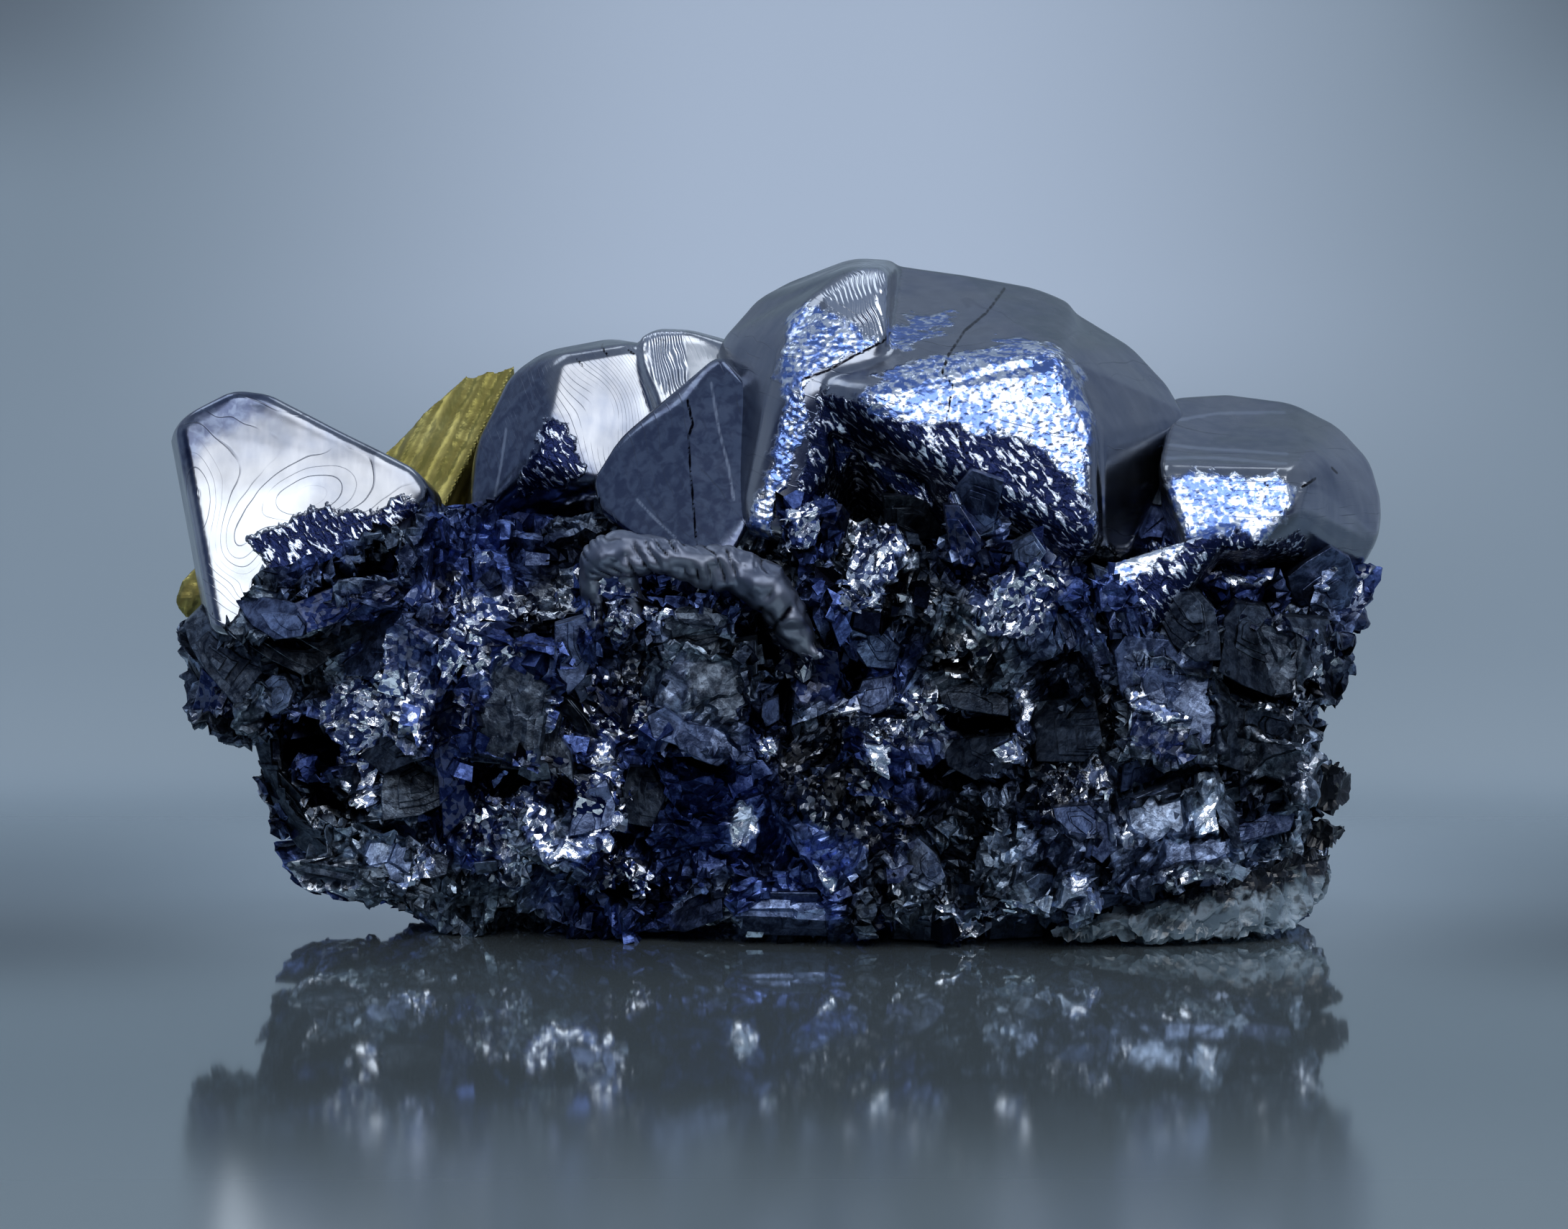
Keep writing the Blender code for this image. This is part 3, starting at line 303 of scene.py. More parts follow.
    ("green", (31.7, 17), (32.8, 18.2), (35.4, 17.4), (37.6, 16.8), (38.9, 15.2), (38.9, 13.7),
        (37.6, 12.9), (35.9, 11.8), (33.3, 12.6), (31.6, 13.3)),
    ("gap", (35, 12.2), (35.7, 11.5), (37, 10.5), (35.5, 10.9), (33.7, 10.2), (33.3, 10.9)),
    ("slate", (24.8, 11.1), (25.1, 13.3), (26.8, 13.7), (28.5, 12.4), (27.2, 12)),
    ("pale", (24.9, 10.7), (29, 12.2), (29.2, 10.9), (29, 8.7), (27.5, 8.3), (26.2, 8.5), (24.9, 9.8)),
    ("white", (29.8, 9.8), (30.5, 10.7), (31.1, 12.2), (31.5, 8.5), (30.1, 8.3)),
    ("slate", (27.7, 8.3), (30.7, 8.1), (33.3, 8.3), (35.5, 9.4), (37.7, 9.4), (37.2, 8.1), (33.3, 7.2),
        (30.1, 6.5), (27.7, 6.7)),
    ("slate", (19.9, 10.2), (22.5, 10.5), (24.6, 9.1), (24.6, 7.8), (23.3, 6.5), (22, 7.4), (20.3, 8.7)),
    ("navy", (25.3, 16.8), (27.6, 16.5), (30.9, 15.2), (30.9, 13.5), (27.9, 13.3), (26.8, 14.6),
        (24.6, 15)),
    ("green", (18.5, 17.6), (22.9, 18.1), (23.3, 15.2), (22, 13.7), (18.8, 13.5)),
    ("spark", (21.4, 12.6), (23.1, 13.5), (24.6, 13.1), (24.6, 12.2), (23.8, 10.9), (21.8, 12)),
    ("slate", (19.2, 2.8), (21.6, 4.3), (23.6, 4.6), (26, 4.3), (25.7, 3.3), (22.5, 2.8), (20.3, 1.9)),
    ("white", (11.6, 2.8), (13.8, 2.6), (16.6, 3.7), (18.8, 3.3), (18.6, 1.5), (16, 0.4), (12.9, 0.9),
        (11.6, 1.1)),
    ("gap", (11.6, 2.8), (14.5, 2.3), (17.9, 1.2), (17.9, 1), (14.5, 2), (11.6, 2.5)),
    ("spark", (20.7, 5.7), (22.3, 5.9), (22.5, 4.8), (21.2, 4.6)),
    ("pale", (17.3, 5), (18.8, 5.9), (19.9, 5.7), (19.7, 4.3), (17.9, 3.7)),
    ("green", (31.8, 11.1), (33.3, 11.5), (34.8, 11.3), (34.6, 10.7), (32.9, 10.2)),
    ("blue", (30.6, 28.9), (32.3, 29.8), (34.5, 29.6), (34.3, 27.6), (32.4, 26.8), (30.8, 27.4)),
    ("spark", (17.5, 18.7), (18.3, 18.7), (18.3, 15.2), (17.9, 13.3), (16.8, 12.9), (17, 15.2),
        (17.7, 16.5)),
    ("gap", (35.4, 25.9), (37.1, 27.2), (37.3, 26.1), (36.7, 23.7), (35.8, 23.9)),
    ("blue", (31.7, 27.4), (34.5, 27.8), (37.1, 28.9), (37.1, 27.4), (35.4, 25.7), (31.9, 25.5)),
    ("gap", (2.7, 38), (3.9, 38), (4.1, 35.4), (4.4, 33.1), (3.5, 33.1), (2.8, 34.3)),
    ("gap", (4.5, 33.1), (6.7, 32.5), (6.8, 31.4), (5.6, 30.7), (4.5, 29.7), (2.8, 28.6), (1.3, 27.5),
        (1, 28.2), (2.8, 29.3), (4.4, 30.6)),
    ("gap", (-0.3, 29.3), (-0.2, 30.6), (0.3, 32.8), (0.8, 31.8), (0.5, 30)),
    ("gap", (2, 27.2), (2.8, 26.1), (5.2, 23.6), (4.4, 23.4), (2.8, 24.5), (1.9, 25.7)),
    ("green", (8.1, 31.1), (7.9, 32.2), (9.9, 32.2), (12.4, 31.1), (12.4, 29), (10.1, 29), (8.1, 30)),
    ("spark", (4.4, 35.4), (5.2, 35.5), (6.3, 34.7), (6.5, 33.8), (5.6, 33.8), (4.5, 34.5)),
    ("spark", (8.6, 35.4), (12.2, 35.2), (12.4, 33.8), (10.8, 33.4), (9, 33.9), (8.3, 34.3)),
    ("spark", (10.2, 32.7), (12.2, 32.7), (12.2, 31.8), (10.4, 31.1)),
    ("spark", (6.7, 33.1), (7.6, 33), (7.6, 32.2), (6.8, 32.3)),
    ("blue", (0.6, 33.1), (2, 33.1), (3.5, 31.8), (3.1, 29), (1.3, 28.2), (0.3, 29), (1, 30.6),
        (0.4, 31.8)),
    ("spark", (0.8, 33.1), (2, 33), (2.8, 32.2), (2, 30.6), (1.1, 30.9)),
    ("spark", (-1.1, 29), (1, 29), (1, 28.1), (-0.8, 28.2)),
    ("slate", (13, 32.9), (14.1, 34.3), (16.3, 33.6), (15.8, 30.6), (14.7, 29.8), (13.9, 30.9)),
    ("pale", (12.6, 32.7), (13.1, 33), (13.9, 31.3), (14.7, 29.9), (15.8, 30.6), (15.7, 29.9), (14.6, 29.4),
        (13.4, 30.9)),
    ("navy", (12.5, 32.2), (12.7, 32.6), (14.1, 30), (14.9, 28.4), (14.2, 27.3), (13.4, 27.5),
        (12.7, 29.7)),
    ("pale", (14.7, 29), (15.9, 29.8), (16.6, 29.3), (15.6, 28.6)),
    ("white", (5.3, 26.6), (5.5, 28.2), (6, 30.6), (6.5, 30.8), (6.1, 29), (5.8, 26.6)),
    ("pale", (6.3, 30.6), (7.2, 31), (8.1, 30), (7.8, 29.8), (7, 30.5), (6.4, 30.2)),
    ("spark", (8.1, 29), (9.2, 29.7), (10.1, 28.8), (9.7, 27.9), (8.5, 27.9)),
]

# Outlines on the crystals' fronts, as (x, z) in millimetres: etched, pitted patches, coloured in pale and
# blue speckle as painted glints and painted reflection
ETCHED_WITH_GLINTS = {
    "great_crystal": [
        [(1.4, 45.3), (2.5, 45.8), (3.3, 46.2), (4, 45.7), (4.9, 44.6), (6.1, 43.8), (7.7, 43.2),
         (5.8, 42.2), (3.3, 41.2), (3, 40.2), (2.4, 37.5), (1.7, 34.5), (1.2, 32.5), (0.4, 30.5),
         (-0.6, 28.8), (-1.9, 28.8), (-1.3, 31), (-0.7, 33.5), (0.4, 39.2), (0.7, 42.4)],
        [(8.8, 44.5), (10.4, 45.2), (12.2, 45.2), (13.9, 44.5), (12.2, 43.8), (10.4, 43.5), (9.4, 42.6),
         (8.3, 42.6)],
        [(6, 39.5), (7.5, 40.7), (9.2, 41.4), (12, 42.3), (14.4, 42.8), (16.5, 43.3), (18.6, 43.2),
         (20.6, 42.4), (22, 41.2), (22.5, 39.6), (22.9, 38.4), (22.9, 36.9), (22.9, 34.8), (22.9, 27.2),
         (16, 30), (10, 34), (6, 37.3)],
    ],
    "right_dome": [
        [(27.9, 33), (28.8, 33.6), (30.3, 33.9), (33.1, 33.9), (36.3, 33.8), (37.8, 32.7), (37.2, 31.5),
         (36.7, 30.4), (35, 28.6), (33.5, 28.6), (32.6, 28.6), (31.6, 28.3), (30.7, 27.9), (30.5, 27.6),
         (29.6, 26.8), (28.1, 26.3), (26.8, 25.1), (26.5, 22.8), (26.1, 22.4), (25.4, 23.2), (23.6, 27.7),
         (26.2, 28), (28.1, 28.6), (28.5, 30.2)],
    ],
}
# Painted shade: duller, bluer parts of the skin, with soft edges
SHADED = {
    "left_tablet": [
        [(-43.4, 36.5), (-42, 38.6), (-39.5, 39.8), (-36.2, 39.6), (-35.8, 38.2), (-38.5, 36.9),
         (-40.9, 35.6), (-42.4, 33.2), (-43.3, 31)],
    ],
    "back_dome": [
        [(-22, 43), (-16.8, 43), (-16.2, 39), (-15.2, 36.9), (-13.6, 34.5), (-12.8, 33.6), (-12, 28),
         (-23, 28)],
    ],
    "shield": [
        [(-17, 43), (3, 43), (3, 22), (-17, 22)],
    ],
    "great_crystal": [
        [(-6, 36), (-2.4, 36), (-2.6, 30), (-6, 28)],
        [(1.6, 39.6), (6.6, 38.6), (7, 30), (0.6, 29), (0.9, 35)],
    ],
}
# Painted highlights: the brightest parts of the skin, with soft edges
LIT = {
    "left_tablet": [
        [(-43, 32.5), (-37.5, 32.5), (-33, 33.2), (-35, 28), (-36.5, 24), (-40.6, 22)],
    ],
    "great_crystal": [
        [(9.6, 41), (13, 42.4), (18.6, 42.8), (19.6, 40.6), (16.5, 39.2), (12, 39.6)],
        [(5.2, 47.4), (6.5, 48.9), (8.4, 48.9), (8.4, 46), (7.4, 44.2), (6.4, 45)],
    ],
    "right_dome": [
        [(27, 31.5), (30.4, 32), (30.5, 28), (27.4, 25.5), (25.6, 27)],
    ],
    "back_dome": [
        [(-7, 43.9), (-2.4, 43.2), (-4, 39.4), (-6.8, 39.6)],
        [(-11.4, 42.6), (-8.4, 43.2), (-7.6, 38), (-9.4, 37.6)],
    ],
}
# Where the skin is broken and rough, in dark and bright streaks painted as shade and glints
WORN_LIGHT_AND_SHADE = {
    "left_tablet": [
        [(-38, 29), (-37.1, 29.5), (-35.2, 30.2), (-33.6, 30.9), (-32.1, 31.4), (-31, 31), (-29.7, 30.9),
         (-28.2, 31.4), (-26.9, 32.3), (-24.8, 30.8), (-30.3, 28), (-33.6, 22.2), (-37.4, 22.4),
         (-36.5, 26), (-36.2, 27.2), (-37.6, 28)],
    ],
    "great_crystal": [
        [(5, 39.4), (7.5, 38), (10.3, 37.8), (12.3, 37.7), (14.4, 36.9), (16.5, 37), (18, 36.4), (19.8, 35),
         (21.6, 33.4), (22.9, 31.4), (22.9, 26.5), (14, 26.5), (5, 30)],
        [(3.3, 39.9), (6.8, 38.8), (7.2, 30), (4, 26), (-1, 26), (0.4, 28.6), (1.6, 32.5), (2.2, 35)],
    ],
    "right_dome": [
        [(29.4, 29.6), (31.6, 29.2), (33.5, 29.8), (35, 28.9), (38.6, 29.6), (38.6, 26), (30.9, 26),
         (30.4, 27.6), (29.6, 28)],
        [(24.4, 25.4), (27.8, 28), (30.4, 28.7), (31, 24), (26, 21)],
    ],
    "back_dome": [
        [(-16.8, 37.5), (-15.5, 36.9), (-14.6, 36), (-13.8, 33.3), (-14.9, 32.4), (-16.8, 32), (-19, 31.4),
         (-18.4, 33.3), (-17.8, 34.8)],
    ],
}
# Where the skin is thrown in fine folds, also lightened there as a painted highlight
FOLDED_SHEEN = {
    "back_dome": [
        [(-9.6, 43.6), (-8.1, 43.9), (-6.6, 43.8), (-6.4, 41.3), (-6, 39.5), (-7, 38.2), (-8.1, 39.3),
         (-9, 40.5), (-9.4, 41.4)],
    ],
    "great_crystal": [
        [(3.4, 46.7), (4.8, 47.5), (6.5, 48.9), (8.4, 48.9), (8.4, 47.9), (8.5, 45.6), (8.1, 43.7),
         (7.4, 43.2), (5.8, 43.9), (4.8, 44.6), (3.9, 45.6)],
    ],
}
# Hairline cracks
CRACKS = {
    "shield": [
        [(-6.2, 38.9), (-5.8, 37.2), (-6.1, 36.3), (-6, 34.6), (-5.7, 31.3), (-5.4, 28)],
    ],
    "great_crystal": [
        [(17.2, 46.8), (15.6, 45.1), (13.9, 43.9), (12.6, 42.3), (12.1, 41.1), (12.8, 40.2), (12.4, 37.8),
         (13.5, 35.8), (14.2, 34.8)],
        [(2, 40.5), (4, 41.2), (5.8, 42.2), (7.9, 43.2), (8.5, 43.8)],
    ],
    "back_dome": [
        [(-12.7, 42.6), (-12.4, 42.1), (-12.2, 41.9)],
        [(-14.5, 41.6), (-14, 41.1)],
        [(-10.7, 42.3), (-10.3, 42)],
    ],
    "right_dome": [
        [(35.3, 33.1), (35.6, 32.9)],
        [(38.1, 32.8), (39.2, 33.3)],
        [(40.7, 33.9), (41.1, 33.5)],
    ],
}
# Painted highlights: bright hairlines along raised welts
WELT_HIGHLIGHTS = {
    "shield": [
        [(-9.8, 31.8), (-8.6, 30.6), (-7, 29.2)],
        [(-4.5, 40.1), (-3.9, 36.8), (-3.2, 34.2), (-2.8, 31.9)],
    ],
    "great_crystal": [
        [(-4.5, 40.1), (-3.7, 36.8), (-2.9, 34.2), (-2.7, 31.9)],
    ],
    "right_dome": [
        [(27.1, 35.8), (30.7, 35.4), (37.3, 35)],
        [(27.3, 34.8), (31.7, 34.8), (37, 34.4)],
        [(28, 37), (33, 37.6), (38, 37.6)],
    ],
    "back_dome": [
        [(-19.8, 36.4), (-20.1, 34), (-20.6, 31.5)],
    ],
}
PATCHES = {"etched_with_glints": ETCHED_WITH_GLINTS, "worn_light_and_shade": WORN_LIGHT_AND_SHADE, "folded_sheen": FOLDED_SHEEN, "shaded": SHADED, "lit": LIT}
HAIRLINES = {"crack_and_groove_shade": CRACKS, "welt_highlight": WELT_HIGHLIGHTS}
# As far from a patch or a hairline as is stored, in millimetres
FAR = 3.0
# Growth lines: the slope of their field in x and z, then its hills (x, z, half widths, turn, height)
GROWTH = {
    "left_tablet": (
        (0.10, 0.35), [(-34.0, 31.6, 4.6, 2.4, 14, 6.5), (-38.6, 28.0, 2.2, 2.6, 20, 5.0),
                       (-38.0, 25.0, 0.9, 0.9, 0, 2.0), (-41.4, 32.5, 1.2, 4.0, 12, -2.4)],
    ),
    "back_dome": ((1.9, 0.9), [(-11.8, 38.8, 3.1, 3.6, 20, -7.0)]),
    "shield": ((0.5, 0.25), [(-7.0, 33.0, 3.0, 5.0, -20, 1.6)]),
    "great_crystal": ((0.16, 0.55), [(9.5, 45.5, 6.0, 2.6, -24, 4.2), (20.0, 44.0, 5.0, 3.0, -30, 2.0)]),
    "right_dome": ((0.05, 1.05), [(34.0, 36.6, 7.0, 1.8, 4, 2.2)]),
}

# How each crystal is made: its lobes, what is cut away, the fineness of its surface in millimetres
CRYSTALS = {
    "left_tablet": ([LEFT_TABLET], [], 0.17),
    "back_dome": ([BACK_DOME, BACK_DOME_SHOULDER], [], 0.20),
    "shield": ([SHIELD], [], 0.19),
    "great_crystal": ([GREAT_LEFT, GREAT_FRONT, GREAT_RIGHT], [UNDER_GREAT], 0.24),
    "right_dome": ([RIGHT_DOME, RIGHT_FOOT], [], 0.22),
}
# How they are softened: how much, how often
SOFTENING = (0.5, 4)

# Broken galena
GRAIN_SEED, REGION_SEED, FLAKE_SEED, BLOCK_SEED = 5, 12, 3, 21
# Its grains: their count, the oval that their middles lie on, their heights and how far each leans
GRAINS, GRAIN_OVAL, GRAIN_HEIGHTS, GRAIN_LEAN = 70, (40, 20), (2, 30), 0.7
# How fine the core is split: first, by what share each time, and at last, at the front and at the rear
FIRST_SPLIT, SPLIT_SHARE = 6 * MM, 0.62
FRONT_FINENESS, REAR_FINENESS = 0.42 * MM, 1.0 * MM
# The front is nearer than this, or beyond this to the sides, and above the level base
FRONT_Y, ENDS_X, BASE_Z = -8 * MM, 34 * MM, 0.3 * MM
CORE_TRIANGLES = 190000
CORE_DRAWN_IN, BURIED_DEPTH = 0.30 * MM, 0.9 * MM
# The channel that the ribbed ridge lies in: half its width, and its depth
RIDGE_CHANNEL, RIDGE_CHANNEL_DEPTH = 2.6 * MM, 1.0 * MM
# Crystals stand clear of the rock above CREST and left of LEFT_END, and it keeps this far off their skins
CREST, LEFT_END = 31 * MM, -40 * MM
OFF_CLEAR_SKIN, OFF_BURIED_SKIN = 1.0, 0.45
# How far out from the middle the rock is smoothed, flakes get fewer and smaller, and hardly any lie
SMOOTHED_BEYOND, THINNED, NEARLY_BARE = 38 * MM, (29, 35), (37, 40)
# Cleaved blocks, in millimetres: how far the core lies back beneath one, how deep it and each step on it
# reach, how small a step gets, and the fewest corners of the core that it can be fitted to
BLOCK_BED, BLOCK_DEPTH, STEP_DEPTH, SMALLEST_STEP, FEWEST_CORNERS = 0.45, 2.6, 0.8, 1.6, 8
# Towards the ends, beyond this, blocks stand out by less
LOW_BLOCKS_BEYOND, LOW_BLOCKS = 36, 0.3
# Cleavage facets of the broken galena, in three sizes: (cell size, most push, share left open), mm
FACETS = ((4.6, 0.60, 0.30), (2.0, 0.30, 0.20), (0.9, 0.10, 0.0))
BLOCK_KINDS = ("green", "slate", "pale", "navy")
# Flakes bedded in it: the sides of each shape, then each lot's name, count, sizes and lift in
# millimetres, and seed
FLAKE_SIDES = (4, 4, 5, 5, 6, 4, 5, 3)
FLAKE_DEPTH = 0.8
FLAKES = (
    ("middling_flakes", 650, (1.0, 2.2), (-0.30, -0.05), 22),
    ("fine_flakes", 4500, (0.35, 1.0), (-0.34, -0.05), 23),
)
# The lowest that anything hangs at the left end, and the x between which that sets in
LEFT_HEM, LEFT_HEM_ENDS = 2.0 * MM, (-28.5, -31.5)
# The skyline at the lower left, as (z, x) in millimetres: before and after it is broken back
CORNER_BEFORE = ((0, -34.5), (6.0, -34.8), (6.1, -39.1), (11, -39.1))
CORNER_AFTER = ((0, -30.5), (2.5, -34.8), (3.9, -36.6), (6.1, -37.7), (9.0, -38.3), (11, -38.9))
CORNER_TOP, CORNER_SPREAD, CORNER_SLACK = 11 * MM, (-29, -36), 0.3 * MM
# Each kind of region: (lightness, blueness, glitter, stands out by mm, evenness, leans up). The high
# lightness and glitter of pale, spark and white are painted highlights and glints, and gap's near black is
# painted shade in its crevices
KINDS = {
    "gap": (0.02, 0.3, 0.0, -1.3, 0.0, 0.0),
    "fine": (0.12, 0.2, 0.28, -0.2, 0.0, 0.0),
    "green": (0.31, 0.05, 0.05, 0.30, 0.85, 0.04),
    "navy": (0.34, 1.0, 0.15, 0.05, 0.6, 0.0),
    "blue": (0.48, 0.95, 0.6, 0.15, 0.3, -0.10),
    "slate": (0.50, 0.5, 0.04, 0.35, 0.95, -0.12),
    "pale": (0.68, 0.25, 0.08, 0.40, 0.95, -0.2),
    "spark": (0.8, 0.7, 1.0, 0.15, 0.1, -0.3),
    "white": (1.6, 0.05, 0.9, 0.25, 0.3, -0.35),
}
# The other minerals: fineness, then height and wavelength of the roughness, in millimetres
BRASS_SURFACE, QUARTZ_SURFACE = (0.22, 0.06, 1.2), (0.25, 0.03, 1.6)
# Quartz breaks in facets of two sizes: (cell size, most push, salt)
QUARTZ_FACETS = ((2.8, 0.45, 140), (1.4, 0.12, 160))
# The small chalcopyrite is carried right and forwards by this much, in full beyond the second x
CARRIED, CARRIED_FROM_TO = ((0, 1.9), (1, -0.9)), (-42.9, -41.3)
# What the rock's mesh stores for its material, in that order; glitter drives painted glints and gap painted
# shade in crevices
ROCK_TONES = ("light", "blueness", "glitter", "gap", "even")


def deselect():
    """Nothing stays selected, in object mode."""
    if bpy.context.mode != "OBJECT":
        bpy.ops.object.mode_set(mode="OBJECT")
    bpy.ops.object.select_all(action="DESELECT")


def pick(obj):
    deselect()
    obj.select_set(True)
    bpy.context.view_layer.objects.active = obj


def edit(obj):
    """Edit mode with everything selected."""
    pick(obj)
    bpy.ops.object.mode_set(mode="EDIT")
    bpy.ops.mesh.select_all(action="SELECT")


def leave():
    bpy.ops.object.mode_set(mode="OBJECT")


def modify(obj, kind, **settings):
    """Adds one modifier and applies it."""
    pick(obj)
    modifier = obj.modifiers.new(kind.title(), kind)
    for key, value in settings.items():
        setattr(modifier, key, value)
    bpy.ops.object.modifier_apply(modifier=modifier.name)


def remesh(obj, size):
    modify(obj, "REMESH", mode="VOXEL", voxel_size=size * MM, adaptivity=0)


def soften(obj, factor, iterations, **settings):
    modify(obj, "SMOOTH", factor=factor, iterations=iterations, **settings)


def bevel(obj, width, segments):
    modify(obj, "BEVEL", width=width * MM, segments=segments, limit_method="ANGLE", angle_limit=SHARP_EDGE)


def shade_smooth(obj):
    pick(obj)
    bpy.ops.object.shade_smooth()


def linked(name, data):
    """A new object in the scene."""
    obj = bpy.data.objects.new(name, data)
    bpy.context.scene.collection.objects.link(obj)
    return obj


def points_piece(name, points, faces=()):
    """A new mesh piece out of points in metres."""
    mesh = bpy.data.meshes.new(name)
    mesh.from_pydata(points, [], faces)
    return linked(name, mesh)


def copy_of_node(name, new_name):
    """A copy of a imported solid, its corners merged."""
    obj = linked(new_name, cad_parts[name].data.copy())
    obj.data.materials.clear()
    edit(obj)
    bpy.ops.mesh.remove_doubles(threshold=MERGE_GAP)
    bpy.ops.mesh.customdata_custom_splitnormals_clear()
    leave()
    return obj


def hull_piece(name, corners, rounding=0.0, segments=4, flat_degrees=9):
    """The hull of corners in millimetres, its nearly level triangles joined and its edges rounded."""
    obj = points_piece(name, [Vector(corner) * MM + SLIDE for corner in corners])
    edit(obj)
    bpy.ops.mesh.convex_hull()
    bpy.ops.mesh.select_all(action="SELECT")
    bpy.ops.mesh.dissolve_limited(angle_limit=math.radians(flat_degrees))
    if rounding:
        bpy.ops.mesh.select_all(action="SELECT")
        bpy.ops.mesh.bevel(offset=rounding * MM, segments=segments, affect="EDGES", clamp_overlap=True)
    leave()
    return obj


def joined(name, objects):
    """Several pieces as one mesh."""
    deselect()
    for obj in objects:
        obj.select_set(True)
    bpy.context.view_layer.objects.active = objects[0]
    if len(objects) > 1:
        bpy.ops.object.join()
    objects[0].name = objects[0].data.name = name
    return objects[0]


def numbers_of(layer, key, kind=float, width=1):
    """One array out of a mesh's layer, with a row for each element."""
    found = np.empty(len(layer) * width, kind)
    layer.foreach_get(key, found)
    return found.reshape(-1, width) if width > 1 else found


def vertices_of(obj):
    return numbers_of(obj.data.vertices, "co", width=3)


def normals_of(obj):
    return numbers_of(obj.data.vertex_normals, "vector", np.float32, 3).astype(float)


def place_vertices(obj, spots):
    obj.data.vertices.foreach_set("co", np.ascontiguousarray(spots, np.float32).ravel())
    obj.data.update()


def paint(obj, name, values):
    """Stores one number for each vertex, for a material to read."""
    layer = obj.data.attributes.get(name) or obj.data.attributes.new(name, "FLOAT", "POINT")
    layer.data.foreach_set("value", np.ascontiguousarray(values, np.float32))


def scrambled(numbers, salt):
    """One number from 0 to 1 for each whole number, the same each time."""
    mixed = (numbers * 2654435761 + salt * 40503) & 0xFFFFFFFF
    mixed = ((mixed >> 13) ^ mixed) * 2246822519 & 0xFFFFFFFF
    return ((mixed >> 11) ^ mixed) % 100003 / 100003


def scattered(numbers, salt):
    """Three numbers from 0 to 1 for each whole number."""
    return np.column_stack([scrambled(numbers, salt + k) for k in range(3)])


def named(cell):
    """One whole number for each cell of a lattice."""
    return (cell[:, 0] * 73856093) ^ (cell[:, 1] * 19349663) ^ (cell[:, 2] * 83492791)


def noise_at(spots, wavelength, salt=0):
    """Smooth noise from -1 to 1 at each place, with that wavelength in metres."""
    scaled = spots / wavelength + 17.3 * salt
    base = np.floor(scaled).astype(np.int64)
    share = scaled - base
    share = share * share * (3 - 2 * share)
    total = np.zeros(len(scaled))
    for corner in itertools.product((0, 1), repeat=3):
        weight = np.where(corner, share, 1 - share).prod(axis=1)
        total += weight * scrambled(named(base + corner), salt)
    return 2 * total - 1


def noises_at(spots, wavelength, salts):
    return np.column_stack([noise_at(spots, wavelength, salt) for salt in salts])


def smooth_step(values, low, high):
    share = ((values - low) / (high - low)).clip(0, 1)
    return share * share * (3 - 2 * share)


def gap_to_line(points, flat):
    """How far each place is from a line of points."""
    gap = np.full(len(flat), 9.0)
    for start, end in zip(points[:-1], points[1:]):
        run = end - start
        share = ((flat - start) @ run / (run @ run)).clip(0, 1)
        gap = np.minimum(gap, np.linalg.norm(flat - start - share[:, None] * run, axis=1))
    return gap


def depth_inside(outline, flat):
    """How far inside an outline each flat place is, negative outside."""
    points = np.array(outline)
    closed = np.vstack([points, points[:1]])
    inside = np.zeros(len(flat), bool)
    for start, end in zip(closed[:-1], closed[1:]):
        rise = end[1] - start[1] or 1e-9
        crosses = (start[1] > flat[:, 1]) != (end[1] > flat[:, 1])
        inside ^= crosses & (flat[:, 0] < start[0] + (flat[:, 1] - start[1]) / rise * (end[0] - start[0]))
    gap = gap_to_line(closed, flat)
    return np.where(inside, gap, -gap)


def keep_in_box(spots):
    """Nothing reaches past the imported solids, or hangs low beneath the left end."""
    low, high = (np.array(corner) for corner in cad_bounds)
    spots = np.clip(spots, low, high)
    hem = LEFT_HEM * smooth_step(spots[:, 0] / MM, *LEFT_HEM_ENDS)
    spots[:, 2] = np.maximum(spots[:, 2], hem)
    return spots


def paint_crystal(obj, name):
    """Paints where a crystal is etched, folded, cracked and lined, and its painted highlights and shade, for
    its material.
    """
    spots, ways = vertices_of(obj), normals_of(obj)
    flat = spots[:, [0, 2]] / MM
    front = ways[:, 1] < 0.1
    for label, plan in PATCHES.items():
        depth = np.full(len(flat), -FAR)
        for outline in plan.get(name, []):
            depth = np.maximum(depth, depth_inside(outline, flat))
        paint(obj, label, np.where(front, depth, -FAR).clip(-FAR, FAR))
    for label, plan in HAIRLINES.items():
        gap = np.full(len(flat), FAR)
        for line in plan.get(name, []):
            gap = np.minimum(gap, gap_to_line(np.array(line), flat))
        paint(obj, label, np.where(front, gap, FAR).clip(0, FAR))
    slope, hills = GROWTH[name]
    field = flat @ np.array(slope) * 1.6
    for x, z, across, up, degrees, height in hills:
        cos, sin = math.cos(math.radians(degrees)), math.sin(math.radians(degrees))
        aside = (flat[:, 0] - x) * cos + (flat[:, 1] - z) * sin
        along = -(flat[:, 0] - x) * sin + (flat[:, 1] - z) * cos
        field += height * np.exp(-((aside / across) ** 2) - (along / up) ** 2)
    field += 0.35 * noise_at(spots, 3.0 * MM, 9) + 0.12 * noise_at(spots, 1.1 * MM, 12)
    paint(obj, "growth", field)
    crease = 2.3 * flat[:, 0] + 0.5 * flat[:, 1] + 1.5 * noise_at(spots, 2.6 * MM, 21)
    paint(obj, "crease", crease + 0.5 * noise_at(spots, 1.0 * MM, 23))


